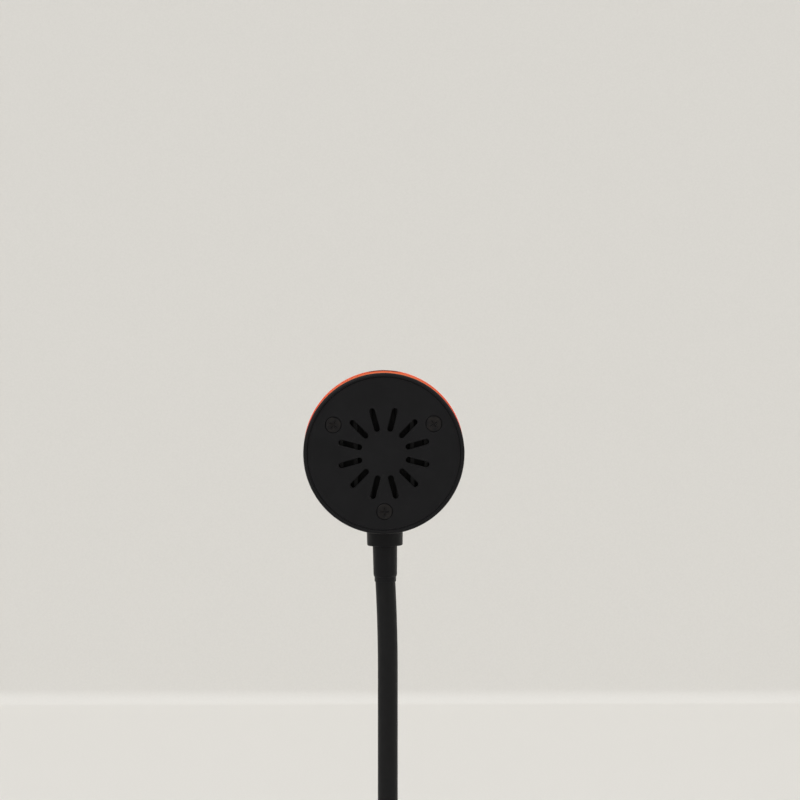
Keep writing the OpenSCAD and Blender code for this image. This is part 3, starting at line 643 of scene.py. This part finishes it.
def spring_steel():
    """Wound steel strip, plain: grey metal with fine rings along the tube."""

    def shader(material, coords):
        rings = turning_marks(material, coords, 1.2, "Z")
        return {
            "Base Color": tint(material, rings, "#85868A", "#A8A9AC"),
            "Metallic": 1,
            "Roughness": between(material, rings, 0.3, 0.42),
            "Normal": relief(material, rings, 0.05, 0.6),
        }

    return finish_of("wound spring steel", shader)


def raw_cast_iron():
    """Cast iron as it leaves the sand: dark grey, rough and pitted, with grains of about 1 mm."""

    def shader(material, coords):
        sand = speckle(material, coords, 1.1, 5)
        return {
            "Base Color": tint(material, sand, "#3A3A3C", "#5C5B5A"),
            "Metallic": 0.6,
            "Roughness": between(material, sand, 0.55, 0.8),
            "Normal": relief(material, sand, 0.12, 0.7),
        }

    return finish_of("raw cast iron", shader)


def milled_anodised():
    """Milled aluminium, anodised black so that it sheds heat: dark, with fine parallel cutter lines that
    glint."""

    def shader(material, coords):
        lines = speckle(material, coords, 0.4, 2, (1, 0.05, 0.05))
        return {
            "Base Color": tint(material, lines, "#0E0E10", "#151517"),
            "Roughness": between(material, lines, 0.32, 0.46),
            "Specular IOR Level": 0.15,
            "Normal": relief(material, lines, 0.01, 0.4),
        }

    return finish_of("black anodised aluminium, milled", shader)


def solder_resist(name, low, high):
    """Solder resist on a circuit board: glossy lacquer that sinks a little over the copper under it."""

    def shader(material, coords):
        weave = speckle(material, coords, 0.6, 2)
        return {
            "Base Color": tint(material, weave, low, high),
            "Roughness": between(material, weave, 0.25, 0.35),
            "Normal": relief(material, weave, 0.01, 0.3),
        }

    return finish_of(name, shader)


def phosphor():
    """Yellow phosphor under a clear dome, lit: a warm glowing spot."""

    def shader(material, coords):
        grain = speckle(material, coords, 0.4, 3)
        warm = tint(material, grain, "#F6C453", "#FFD97A")
        return {
            "Base Color": warm,
            "Roughness": between(material, grain, 0.15, 0.25),
            "Emission Color": warm,
            "Emission Strength": 2.0,
        }

    return finish_of("lit phosphor", shader)


def clear_optic(name, ior, colour):
    """Polished clear optic: colourless, sharp in its reflections, with the faintest moulding waves."""

    def shader(material, coords):
        waves = speckle(material, coords, 12, 1)
        return {
            "Base Color": srgb(colour),
            "Transmission Weight": 1,
            "IOR": ior,
            "Roughness": between(material, waves, 0.0, 0.03),
            "Normal": relief(material, waves, 0.01, 0.15),
        }

    return finish_of(name, shader)


def lens_with_painted_glow(name, ior, seat, inner, outer, depth):
    """Polished clear lens over a lit lamp: colourless over its middle, while the rim past the housing has a
    painted glow, orange base colour and emission that stand in for the filter's light entering it at its
    seat: orange there, deeper on the rear chamfer, and clear again a little further forward."""

    def shader(material, coords):
        waves = speckle(material, coords, 12, 1)
        out = share_of(material, distance_from(material, coords, seat, (1, 0, 1)), inner, outer)
        along = distance_from(material, coords, seat, (0, 1, 0))
        near = share_of(material, along, depth, 0)
        # painted glow: how strongly the rim's colour and emission stand in for the filter's light, out at the
        # rim and near the seat
        warm = add_node(material, "Math", {0: out, 1: near}, operation="MULTIPLY").outputs[0]
        return {
            # painted glow: the rim's orange base colour stands in for the filter's light, not for a colour of
            # the acrylic
            "Base Color": graded(
                material, warm, (0.0, "#FBFBFA"), (0.5, "#FFD9BE"), (0.8, "#FF4318"), (0.92, "#E81E02")
            ),
            "Transmission Weight": 1,
            "IOR": ior,
            "Roughness": between(material, waves, 0.0, 0.03),
            "Normal": relief(material, waves, 0.01, 0.15),
            # painted glow: the rim's emission stands in for the filter's light, since the lens itself is no
            # lamp
            "Emission Color": graded(
                material, warm, (0.0, "#000000"), (0.5, "#401804"), (0.8, "#FF6A24"), (0.92, "#D63A08")
            ),
            "Emission Strength": 0.15,
        }

    return finish_of(name, shader)


def sunset_film(centre, radius):
    """The graded sunset filter, lit from behind: warm yellow orange at its middle, deep orange further out
    and red at its rim, as the light that it throws."""

    def shader(material, coords):
        share = share_of(material, distance_from(material, coords, centre), 0, radius)
        colour = graded(
            material, share,
            (0.0, "#FFB25A"), (0.35, "#FF8A2A"), (0.7, "#FF6212"), (0.88, "#F2440C"), (1.0, "#C2230A"),
        )
        return {
            "Base Color": colour,
            "Roughness": between(material, speckle(material, coords, 3, 2), 0.08, 0.16),
            "Coat Weight": 0.6,
            "Coat Roughness": 0.05,
            "Emission Color": colour,
            "Emission Strength": 0.9,
        }

    return finish_of("graded sunset film", shader)


def moulded_plastic(name, low, high, rough):
    """Injection moulded plastic with a fine spark eroded texture of about 0.25 mm."""

    def shader(material, coords):
        grain = speckle(material, coords, 0.25, 3)
        return {
            "Base Color": tint(material, speckle(material, coords, 4, 3), low, high),
            "Roughness": between(material, grain, rough, rough + 0.12),
            "Specular IOR Level": 0.22,
            "Normal": relief(material, grain, 0.01, 0.4),
        }

    return finish_of(name, shader)


def rubber():
    """Moulded rubber: dull black with a slight bloom."""

    def shader(material, coords):
        bloom = speckle(material, coords, 3, 4)
        return {
            "Base Color": tint(material, bloom, "#121212", "#1A1A19"),
            "Roughness": between(material, bloom, 0.68, 0.82),
            "Specular IOR Level": 0.2,
            "Normal": relief(material, speckle(material, coords, 0.4, 3), 0.015, 0.5),
        }

    return finish_of("dull black rubber", shader)


def nickel_plate():
    """Nickel plated steel sheet: warm bright metal with long drawing lines."""

    def shader(material, coords):
        lines = speckle(material, coords, 0.3, 2, (1, 0.05, 1))
        return {
            "Base Color": tint(material, lines, "#C2BFB8", "#D3D0C9"),
            "Metallic": 1,
            "Roughness": between(material, lines, 0.2, 0.32),
            "Normal": relief(material, lines, 0.003, 0.4),
        }

    return finish_of("nickel plated sheet", shader)


def gold_flash():
    """Gold flash over nickel on contacts: yellow metal, slightly hazy."""

    def shader(material, coords):
        haze = speckle(material, coords, 0.5, 3)
        return {
            "Base Color": tint(material, haze, "#D9A945", "#E8C063"),
            "Metallic": 1,
            "Roughness": between(material, haze, 0.2, 0.34),
        }

    return finish_of("gold flash", shader)


def wire_insulation():
    """Extruded insulation on a lead: even red, slightly glossy."""

    def shader(material, coords):
        lines = speckle(material, coords, 0.4, 2, (1, 1, 0.05))
        return {
            "Base Color": tint(material, lines, "#A3140E", "#B81C14"),
            "Roughness": between(material, lines, 0.35, 0.45),
            "Normal": relief(material, lines, 0.01, 0.3),
        }

    return finish_of("red wire insulation", shader)


def studio_paper():
    """Matt pale studio paper under and behind the lamp, with a fine even grain."""

    def shader(material, coords):
        fibre = speckle(material, coords, 1.5, 2)
        return {
            "Base Color": tint(material, fibre, "#DEDCD8", "#E1DFDB"),
            "Roughness": 0.9,
            "Specular IOR Level": 0.2,
        }

    return finish_of("pale studio paper", shader)


# ---- Finishing a piece ----


def fitted(piece, material, body, slot, *nodes):
    """Gives a piece its material, shading and body, and hides the CAD nodes that it stands for; its slot is
    not used. A rigid piece's flat faces keep their own normals, so that no rounding shades across them. A
    piece without a body here is attached to none."""
    take(piece)
    bpy.ops.object.shade_smooth_by_angle(angle=radians(SHARP))
    piece.data.materials.clear()
    piece.data.materials.append(material)
    if body:
        grown = Matrix.Scale(1 / MM, 4)  # the modifier compares faces of whole units
        placed(piece, grown)
        with_modifier(piece, "WEIGHTED_NORMAL", keep_sharp=True, weight=100)
        placed(piece, grown.inverted())
        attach(piece, body)
    if nodes:
        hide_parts(*nodes)
    return piece


def dress(node, material):
    """Gives a CAD node that stays its material."""
    piece = frame["nodes"][node]
    piece.data.materials.clear()
    piece.data.materials.append(material)


HEAD_BLACK = anodised_aluminium("black anodised aluminium, turned along the light", "Y")
COLLAR_BLACK = anodised_aluminium("black anodised aluminium, turned upright", "Z")
POWDER_BLACK = powder_coat()
SLEEVE_BLACK = silicone_sleeve()
OXIDE = black_oxide()
ZINC = zinc_plate()
PLASTIC_BLACK = moulded_plastic("moulded black ABS", "#121214", "#171719", 0.4)
RUBBER_BLACK = rubber()
NICKEL = nickel_plate()
INSULATION = wire_insulation()


# ---- The neck: a stretch of sleeve and of lead for each hinge of the core inside them ----

neck_joints = [joint for joint in frame["joints"] if joint["type"] == "hinge"]
joint_points = [Vector(joint["pos_m"]) for joint in neck_joints]
half_pitch = (joint_points[1] - joint_points[0]) / 2
top_along = Vector((-sin(TOP_LEAN), 0, cos(TOP_LEAN)))
lower_mouth = joint_points[0] - half_pitch
upper_mouth = joint_points[-1] + top_along * half_pitch.length
middles = [(a + b) / 2 for a, b in zip(joint_points, joint_points[1:])]
link_ends = [lower_mouth, *middles, upper_mouth]


def through(start, bend, end):
    """A curve from start to end that leaves and arrives along the lines through its bend."""
    return [
        (start, start, start.lerp(bend, 2 / 3)),
        (end.lerp(bend, 2 / 3), end, end),
    ]


def make_neck():
    """A stretch of sleeve and of lead for each hinge, from the middle of one link to that of the next."""
    last = len(neck_joints) - 1
    for k, (joint, bend) in enumerate(zip(neck_joints, joint_points)):
        start, end = link_ends[k], link_ends[k + 1]
        sleeve_start = start - half_pitch.normalized() * (SLEEVE_IN * MM if k == 0 else 0)
        sleeve_end = end + top_along * (SLEEVE_IN * MM if k == last else 0)
        number = f"{k + 1:02d}"
        sleeve = tube(
            "sleeve_bend_" + number, through(sleeve_start, bend, sleeve_end), NECK_D / 2, SLEEVE_WALL
        )
        nodes = ["neck_sleeve_00"] if k == 0 else []
        fitted(sleeve, SLEEVE_BLACK, None, "black_sleeve", "neck_sleeve_" + number, *nodes)
        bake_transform(sleeve)
        lead = tube("lead_bend_" + number, through(start, bend, end), LEAD_D / 2, sides=LEAD_SIDES)
        fitted(lead, INSULATION, None, "lead_red", "led_lead")
        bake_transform(lead)


def make_lead_ends():
    """The lead's bends in the base, from the driver board, and in the head, to the light source's board."""
    stud_low = shift(0, 0, LOWER_STUD_Z).translation
    pad = Vector(LEAD_PAD) * MM
    base_lead = tube("lead_in_base", [
        (pad, pad, pad + Vector((0, 0, LEAD_RISE)) * MM),
        (Vector((0, 0, LEAD_TURN_Z)) * MM, stud_low, stud_low.lerp(lower_mouth, 1 / 3)),
        (lower_mouth.lerp(stud_low, 1 / 3), lower_mouth, lower_mouth),
    ], LEAD_D / 2, sides=LEAD_SIDES)
    fitted(base_lead, INSULATION, "base", "lead_red", "led_lead")

    def in_head(down, along):
        return HEAD @ (Vector((0, down, along)) * MM)

    stud_high = in_head(UPPER_STUD_R, NECK_FROM_REAR)
    soldered = in_head(LEAD_END_R, LEAD_END_Z)
    head_lead = tube("lead_in_head", [
        (upper_mouth, upper_mouth, upper_mouth.lerp(stud_high, 1 / 3)),
        (stud_high.lerp(upper_mouth, 1 / 3), stud_high, in_head(UPPER_STUD_R - LEAD_REACH, NECK_FROM_REAR)),
        (in_head(LEAD_END_R + LEAD_REACH, LEAD_END_Z + LEAD_D / 2), soldered, soldered),
    ], LEAD_D / 2, sides=LEAD_SIDES)
    fitted(head_lead, INSULATION, "head", "lead_red", "led_lead")


# ---- The head ----


def countersunk_screw(name, d, head_d, length):
    """Countersunk screw with a cross recess: its face on z = 0, and its shank along -Z."""
    sink = (head_d - d) / 2
    screw = turned(name, [
        (0, 0), (head_d / 2 - SCREW_EDGE, 0), (head_d / 2, -SCREW_EDGE), (d / 2, -sink), (d / 2, -length),
        (0, -length),
    ], 48)
    arm = (0.55 * head_d, 0.11 * head_d, 1.6 * sink)
    arms = [block("arm", arm, (0, 0, 0), turn) for turn in around(4)[:2]]
    return soften(cut(screw, *arms), 0.05)


def make_housing():
    bore_r = HEAD_D / 2 - HEAD_WALL
    seat_r = bore_r + COVER_SEAT
    ledge_r = bore_r - LEDGE_H
    seat_z = COVER_INSET + COVER_TH
    outer = HEAD_D / 2
    housing = turned("turned_housing", ring_of([
        (seat_r, 0),
        *rounding((outer - HEAD_EDGE, HEAD_EDGE), (HEAD_EDGE, HEAD_EDGE), -90, 0),
        (outer, HEAD_LEN - FRONT_CHAMFER), (outer - FRONT_CHAMFER, HEAD_LEN), (bore_r, HEAD_LEN),
        (bore_r, SINK_Z), (ledge_r, SINK_Z), (ledge_r, SINK_Z - LEDGE_TH), (bore_r, SINK_Z - LEDGE_TH),
        (bore_r, seat_z), (seat_r, seat_z),
    ]), 192)
    soften(housing, 0.1)
    flat_r = HEAD_D / 2 - NUT_FLAT_WALL
    mill = turned("mill", [
        (0, 0), (NUT_POCKET_R, 0), (NUT_POCKET_R, flat_r), (STUD_HOLE_R, flat_r),
        (STUD_HOLE_R, HEAD_D), (0, HEAD_D),
    ], 64)
    placed(mill, shift(0, 0, NECK_FROM_REAR) @ Matrix.Rotation(-pi / 2, 4, "X"))
    cut(housing, mill)
    placed(housing, HEAD)
    fitted(housing, HEAD_BLACK, "head", "black_anodised", "head_housing")


def make_rear_cover():
    outer = HEAD_D / 2 - HEAD_WALL + COVER_SEAT - SEAT_CLEAR
    cover = turned("vented_cover", [
        (0, COVER_INSET), (outer, COVER_INSET), (outer, COVER_INSET + COVER_TH), (0, COVER_INSET + COVER_TH),
    ], 192)
    middle = (VENT_FROM + VENT_TO) / 2
    slot = slot_prism("vent", VENT_TO - VENT_FROM, VENT_W, 3 * COVER_TH)
    vents = [
        copied(slot, "vent", turn @ shift(middle, 0, -COVER_TH)) for turn in around(VENT_N, 180 / VENT_N)
    ]
    bpy.data.objects.remove(slot)
    cut(cover, joined("vents", *vents))
    head_r = COVER_SCREW_HEAD_D / 2 + COVER_SCREW_CLEAR
    shank_r = COVER_SCREW_D / 2 + COVER_SCREW_CLEAR
    hole = turned("hole", [
        (0, -PAST), (head_r, -PAST), (head_r, 0), (shank_r, head_r - shank_r),
        (shank_r, 2 * COVER_TH), (0, 2 * COVER_TH),
    ], 64)
    holes = [
        copied(hole, "hole", turn @ shift(COVER_SCREW_R, 0, COVER_INSET)) for turn in around(3, 90)
    ]
    bpy.data.objects.remove(hole)
    cut(cover, joined("holes", *holes))
    soften(cover, 0.18)
    placed(cover, HEAD)
    fitted(cover, HEAD_BLACK, "head", "black_anodised", "rear_cover")

    screw = countersunk_screw("screw", COVER_SCREW_D, COVER_SCREW_HEAD_D, COVER_SCREW_LEN)
    face_down = Matrix.Rotation(pi, 4, "X")
    for number, turn in enumerate(around(3, 90), 1):
        where = HEAD @ turn @ shift(COVER_SCREW_R, 0, COVER_INSET) @ face_down
        one = copied(screw, f"cover_screw_{number}", where)
        fitted(one, OXIDE, "head", "black_oxide_steel", "rear_cover_screws")
    bpy.data.objects.remove(screw)


def make_lens():
    bore_r = HEAD_D / 2 - HEAD_WALL
    rear = HEAD_LEN + GASKET_TH
    front = rear + LENS_RIM_TH
    spigot_r = bore_r - SEAT_CLEAR
    top_r = LENS_R - LENS_STEP
    lens = turned("front_lens_glass", [
        (0, HEAD_LEN - LENS_SPIGOT), (spigot_r, HEAD_LEN - LENS_SPIGOT), (spigot_r, rear),
        (LENS_R - LENS_CHAMFER, rear), (LENS_R, rear + LENS_CHAMFER), (LENS_R, front - LENS_CHAMFER),
        (LENS_R - LENS_CHAMFER, front), *crown(top_r, LENS_CROWN, front),
    ], 192)
    placed(soften(lens, 0.06), HEAD)
    seat = HEAD @ (Vector((0, 0, rear)) * MM)
    # the rim's orange is a painted glow in place of the filter's light
    glass = lens_with_painted_glow("clear acrylic with a painted glow at its rim", 1.49, seat, bore_r - 1, LENS_R, LENS_PAINTED_GLOW)
    fitted(lens, glass, "head", "clear_glass", "front_lens")

    gasket = turned("lens_gasket_ring", ring_of([
        (bore_r, HEAD_LEN), (bore_r + GASKET_W, HEAD_LEN), (bore_r + GASKET_W, rear), (bore_r, rear),
    ]), 128)
    placed(soften(gasket, 0.08), HEAD)
    fitted(gasket, RUBBER_BLACK, "head", "black_rubber", "lens_gasket")


def make_optics():
    """The barrel, the sunset filter and the ring that holds it, which show through the front lens."""
    flange_end_z = SINK_FACE_Z + BARREL_FLANGE_TH
    filter_bore_r = FILTER_R + SEAT_CLEAR
    condenser_bore_r = CONDENSER_R + SEAT_CLEAR
    barrel = turned("optics_barrel", ring_of([
        (THROAT_R, SINK_FACE_Z), (BARREL_FLANGE_R, SINK_FACE_Z), (BARREL_FLANGE_R, flange_end_z),
        (BARREL_R, flange_end_z), (BARREL_R, BARREL_END_Z), (filter_bore_r, BARREL_END_Z),
        (filter_bore_r, FILTER_Z), (condenser_bore_r, FILTER_Z), (condenser_bore_r, CONDENSER_Z),
        (THROAT_R, CONDENSER_Z),
    ]))
    soften(barrel, 0.15)
    notch_h = CONDENSER_Z - SINK_FACE_Z - BARREL_FLANGE_TH / 2
    lead_notch = block(
        "lead_notch", (3 * LEAD_D, HEAD_D / 2, notch_h + PAST),
        (0, HEAD_D / 4, SINK_FACE_Z + notch_h / 2 - PAST / 2),
    )
    placed(cut(barrel, lead_notch), HEAD)
    fitted(barrel, PLASTIC_BLACK, "head", "black_plastic", "lens_barrel")

    ring_z = FILTER_Z + FILTER_TH
    film = turned("graded_filter", [(0, FILTER_Z), (FILTER_R, FILTER_Z), (FILTER_R, ring_z), (0, ring_z)])
    placed(soften(film, 0.1), HEAD)
    centre = HEAD @ (Vector((0, 0, ring_z)) * MM)
    fitted(film, sunset_film(centre, FILTER_R), "head", "sunset_glass", "sunset_filter")

    inner = FILTER_R - RING_W
    ring = turned("threaded_ring", ring_of([
        (inner, ring_z), (FILTER_R, ring_z), (FILTER_R, BARREL_END_Z), (inner, BARREL_END_Z),
    ]))
    key_slot = block("key_slot", (3 * FILTER_R, RING_SLOT_W, BARREL_END_Z - ring_z), (0, 0, BARREL_END_Z))
    placed(soften(cut(ring, key_slot), 0.12), HEAD)
    fitted(ring, PLASTIC_BLACK, "head", "black_plastic", "filter_ring")


# ---- Collars and ferrules ----


def collar_profile(height, past):
    """A collar with its ferrule end on z = 0."""
    outer = COLLAR_D_FERRULE / 2
    return ring_of([
        (STUD_HOLE_R, 0),
        *rounding((outer - COLLAR_EDGE, COLLAR_EDGE), (COLLAR_EDGE, COLLAR_EDGE), -90, 0),
        (COLLAR_D_HEAD / 2, height), (COLLAR_D_HEAD / 2, height + past), (STUD_HOLE_R, height + past),
    ])


def ferrule_profile(stud_len):
    """A ferrule with its mouth on z = 0 and its stud past the collar end."""
    end = NOSE_LEN + FERRULE_LEN
    mouth_r = NECK_D / 2 + SEAT_CLEAR
    step = (FERRULE_D_NOSE - NOSE_D) / 2
    sleeve_z = SLEEVE_IN + SEAT_CLEAR + LEAN_SLACK
    core_z = CORE_IN + SEAT_CLEAR + LEAN_SLACK
    core_r = NECK_D / 2 - SLEEVE_WALL
    return ring_of([
        (mouth_r, 0), (NOSE_D / 2, 0),
        *rounding((NOSE_D / 2, NOSE_LEN), (step, NOSE_ROUND), -90, 0, 12),
        (FERRULE_D_COLLAR / 2, end), (STUD_D / 2, end), (STUD_D / 2, end + stud_len),
        (STUD_BORE / 2, end + stud_len), (STUD_BORE / 2, core_z), (core_r, core_z), (core_r, sleeve_z),
        (mouth_r, sleeve_z),
    ])


def make_collars():
    start = NOSE_LEN + FERRULE_LEN
    saddle = turned("saddle_collar_turned", collar_profile(COLLAR_H, HEAD_WALL), 96)
    head_round = rod(
        "head_round", HEAD_D / 2, HEAD_D, 384,
        shift(0, HEAD_D / 2, HEAD_D / 2 + COLLAR_H) @ Matrix.Rotation(pi / 2, 4, "X"),
    )
    cut(saddle, head_round)
    placed(saddle, UPPER_FERRULE @ shift(0, 0, start))
    fitted(saddle, COLLAR_BLACK, "head", "black_anodised", "saddle_collar")

    collar = turned("lower_collar_turned", collar_profile(LOWER_COLLAR_H, 0), 96)
    placed(soften(collar, 0.08), LOWER_FERRULE @ shift(0, 0, start))
    fitted(collar, COLLAR_BLACK, "base", "black_anodised", "lower_collar")

    upper = turned("upper_ferrule_turned", ferrule_profile(COLLAR_H + NUT_FLAT_WALL + NUT_STACK), 96)
    placed(soften(upper, 0.05), UPPER_FERRULE)
    fitted(upper, COLLAR_BLACK, "head", "black_anodised", "upper_ferrule")

    lower = turned("lower_ferrule_turned", ferrule_profile(LOWER_COLLAR_H + BASE_WALL + NUT_STACK), 96)
    placed(soften(lower, 0.05), LOWER_FERRULE)
    fitted(lower, COLLAR_BLACK, "base", "black_anodised", "lower_ferrule")


# ---- The base ----


def make_base_shell():
    outer, bore = BASE_D / 2, BASE_D / 2 - BASE_WALL
    ceiling = BASE_H - BASE_WALL
    inner_edge = BASE_EDGE - BASE_WALL
    shell = turned("base_cover", ring_of([
        (STUD_HOLE_R, BASE_H),
        *rounding((outer - BASE_EDGE, BASE_H - BASE_EDGE), (BASE_EDGE, BASE_EDGE), 90, 0, 12),
        (outer, SHELL_LIFT), (bore, SHELL_LIFT),
        *rounding((bore - inner_edge, ceiling - inner_edge), (inner_edge, inner_edge), 0, 90, 8),
        (STUD_HOLE_R, ceiling),
    ]), 256)
    soften(shell, 0.2)
    button_hole = rod(
        "button_hole", BUTTON_D / 2 + BUTTON_CLEAR, 3 * BASE_WALL, 96, BUTTON @ shift(0, 0, ceiling - PAST)
    )
    mouth = slot_prism(
        "mouth", USB_W + 2 * USB_CLEAR, USB_H + 2 * USB_CLEAR, 10,
        shift(0, -BASE_D / 2 + 2 * BASE_WALL, USB_Z) @ Matrix.Rotation(pi / 2, 4, "X"),
    )
    cut(shell, button_hole, mouth)
    soften(shell, 0.12, angle=50)
    fitted(shell, POWDER_BLACK, "base", "black_powder_coat", "base_shell")

    boss = turned("boss", ring_of([
        (BOSS_BORE_R, BOSS_Z), (BOSS_R, BOSS_Z), (BOSS_R, ceiling), (BOSS_BORE_R, ceiling),
    ]), 48)
    for number, turn in enumerate(around(4, 45), 1):
        one = copied(boss, f"screw_boss_{number}", turn @ shift(BOSS_AT_R, 0, 0))
        fitted(one, POWDER_BLACK, "base", "black_powder_coat", "base_shell")
    bpy.data.objects.remove(boss)


def make_foot_ring():
    inner = FOOT_R - FOOT_W
    foot = turned("rubber_foot", ring_of([
        (inner, 0), (FOOT_R, 0), (FOOT_R, FOOT_H), (inner, FOOT_H),
    ]), 192)
    soften(foot, 0.3, 3)
    fitted(foot, RUBBER_BLACK, "base", "black_rubber", "foot_ring")


def make_button():
    ceiling = BASE_H - BASE_WALL
    top = BASE_H + BUTTON_PROUD
    r = BUTTON_D / 2
    dish_r = r - 1.2 * BUTTON_EDGE
    flange = ceiling - SEAT_CLEAR
    button = turned("push_button", [
        (0, PLUNGER_TOP_Z), (r, PLUNGER_TOP_Z), (r, flange - BUTTON_FLANGE_TH),
        (r + BUTTON_FLANGE_W, flange - BUTTON_FLANGE_TH), (r + BUTTON_FLANGE_W, flange), (r, flange),
        *rounding((r - BUTTON_EDGE, top - BUTTON_EDGE), (BUTTON_EDGE, BUTTON_EDGE), 0, 90),
        *crown(dish_r, -BUTTON_DISH, top, 16),
    ], 96)
    placed(soften(button, 0.06), BUTTON)
    fitted(button, PLASTIC_BLACK, "button", "black_plastic", "power_button")


def make_usb_inlet():
    """The socket's drawn sheet shell, its tongue, and the contacts on the tongue."""
    facing = shift(0, USB_Y, USB_Z) @ Matrix.Rotation(-pi / 2, 4, "X")
    shell = slot_prism("socket_shell", USB_W, USB_H, USB_L)
    edit(shell, "FACE")
    select(shell, lambda face: face.normal.z < -0.9)
    bpy.ops.mesh.inset(thickness=USB_SHEET * MM)
    bpy.ops.mesh.extrude_region_move(TRANSFORM_OT_translate={"value": (0, 0, (USB_L - USB_SHEET) * MM)})
    outwards(shell)
    placed(soften(shell, 0.06, angle=50), facing)
    fitted(shell, NICKEL, "base", "socket_steel", "usb_socket")

    depth = USB_L - USB_SHEET
    tongue = block("tongue", (TONGUE_W, TONGUE_TH, depth - TONGUE_INSET), (0, 0, (depth + TONGUE_INSET) / 2))
    soften(tongue, 0.1, 3)
    root = slot_prism(
        "root", USB_W - 2 * USB_SHEET - SEAT_CLEAR, USB_H - 2 * USB_SHEET - SEAT_CLEAR, TONGUE_BLOCK,
        shift(0, 0, depth - TONGUE_BLOCK),
    )
    tongue = joined("socket_tongue", tongue, root)
    placed(tongue, facing)
    fitted(tongue, PLASTIC_BLACK, "base", "black_plastic", "usb_tongue")

    first_x = -(CONTACT_N - 1) / 2 * CONTACT_PITCH
    rows = []
    for side in (-1, 1):
        row = block(
            "contact", (CONTACT_W, CONTACT_TH, CONTACT_L),
            (first_x, side * TONGUE_TH / 2, TONGUE_INSET + CONTACT_INSET + CONTACT_L / 2),
        )
        with_modifier(
            row, "ARRAY", count=CONTACT_N, use_relative_offset=False, use_constant_offset=True,
            constant_offset_displace=(CONTACT_PITCH * MM, 0, 0),
        )
        rows.append(row)
    contacts = placed(joined("socket_contacts", *rows), facing)
    fitted(contacts, gold_flash(), "base", "socket_steel")


# ---- CAD nodes that stay ----


def dress_cad_nodes():
    steel = spring_steel()
    for node in frame["nodes"]:
        if node.startswith("neck_core_"):
            dress(node, steel)
    for node in ("upper_nut", "inner_screws", "bottom_plate_screws", "lower_nut", "board_screws"):
        dress(node, ZINC)
    dress("heat_sink", milled_anodised())
    dress("base_weight", raw_cast_iron())
    dress("bottom_plate", POWDER_BLACK)
    dress("led_board", solder_resist("white solder resist", "#E4E5E2", "#EFEFEC"))
    dress("driver_board", solder_resist("green solder resist", "#0F4A30", "#155A3B"))
    dress("led_emitter", phosphor())
    dress("condenser_lens", clear_optic("pressed clear glass", 1.52, "#F6F9F6"))
    dress("driver_components", PLASTIC_BLACK)
    dress("switch_plunger", PLASTIC_BLACK)
    dress("push_switch", NICKEL)


# ---- Stage, camera and lights ----


def make_stage():
    """A pale floor that turns up into a backdrop."""
    put_down_all()
    bpy.ops.mesh.primitive_plane_add(size=1)
    paper = named("studio_paper")
    wall_y, near, wide, tall = WALL_Y * MM, -40, 40, 1.6  # in metres
    cove, cove_steps = 0.012, 8
    bpy.ops.object.mode_set(mode="EDIT")
    bpy.ops.mesh.select_all(action="SELECT")
    bpy.ops.transform.resize(value=(2 * wide, wall_y - cove - near, 1))
    bpy.ops.transform.translate(value=(0, (wall_y - cove + near) / 2, 0))
    bpy.ops.mesh.select_mode(type="VERT")
    bpy.ops.mesh.select_all(action="DESELECT")
    select(paper, lambda vert: vert.co.y > 0, "verts")
    length = cove * pi / 2 / cove_steps
    for step in range(cove_steps):
        turn = pi / 2 * (step + 0.5) / cove_steps
        bpy.ops.mesh.extrude_region_move(
            TRANSFORM_OT_translate={"value": (0, length * cos(turn), length * sin(turn))}
        )
    bpy.ops.mesh.extrude_region_move(TRANSFORM_OT_translate={"value": (0, 0, tall)})
    bpy.ops.object.mode_set(mode="OBJECT")
    take(paper)
    bpy.ops.object.shade_smooth_by_angle(angle=radians(SHARP))
    paper.data.materials.append(studio_paper())


def make_camera():
    put_down_all()
    rear = HEAD.translation
    turn = Matrix.Rotation(-CAMERA_TURN, 3, "Z")
    at = rear + turn @ Vector((CAMERA_RIGHT, -CAMERA_BACK, CAMERA_UP)) * MM
    bpy.ops.object.camera_add(location=at, rotation=(pi / 2, 0, -CAMERA_TURN))
    camera = bpy.context.object
    camera.name = "photo_camera"
    camera.data.sensor_width = SENSOR
    camera.data.lens = FOCAL_PX / FRAME_PX * SENSOR
    camera.data.clip_start = 0.01
    bpy.context.scene.camera = camera


def soft_light(name, towards, spread, strength):
    """A broad soft light from far off, which falls evenly over the stage."""
    put_down_all()
    bpy.ops.object.light_add(type="SUN", location=towards)
    lamp = bpy.context.object
    lamp.name = name
    lamp.data.angle = radians(spread)
    lamp.data.energy = strength
    lamp.rotation_euler = Vector(towards).to_track_quat("Z", "Y").to_euler()


def make_light():
    """Soft lights from both sides, and a pale room: what is seen of it is as pale as the paper."""
    world = bpy.data.worlds.new("soft studio")
    bpy.context.scene.world = world
    world.use_nodes = True
    world.node_tree.nodes.clear()
    path = add_node(world, "LightPath")
    seen = path.outputs["Is Camera Ray"]
    for kind in ("Is Glossy Ray", "Is Transmission Ray"):
        seen = add_node(world, "Math", {0: seen, 1: path.outputs[kind]}, operation="MAXIMUM").outputs[0]
    room = add_node(world, "Background", {"Color": srgb("#F3F3F1"), "Strength": 0.5})
    backdrop = add_node(world, "Background", {"Color": srgb("#DCD9D3"), "Strength": 1})
    both = add_node(world, "MixShader", {0: seen, 1: room.outputs[0], 2: backdrop.outputs[0]})
    add_node(world, "OutputWorld", {"Surface": both.outputs[0]})
    soft_light("key_light", (-0.9, -1.0, 1.3), 50, 1.5)
    soft_light("fill_light", (1.1, -0.7, 0.9), 50, 0.5)
    soft_light("front_light", (0.5, 0.45, 1.2), 40, 0.35)


make_camera()
make_neck()
make_lead_ends()
make_housing()
make_rear_cover()
make_lens()
make_optics()
make_collars()
make_base_shell()
make_foot_ring()
make_button()
make_usb_inlet()
dress_cad_nodes()
make_stage()
make_light()
bpy.context.scene.view_settings.view_transform = "Standard"

put_down_all()
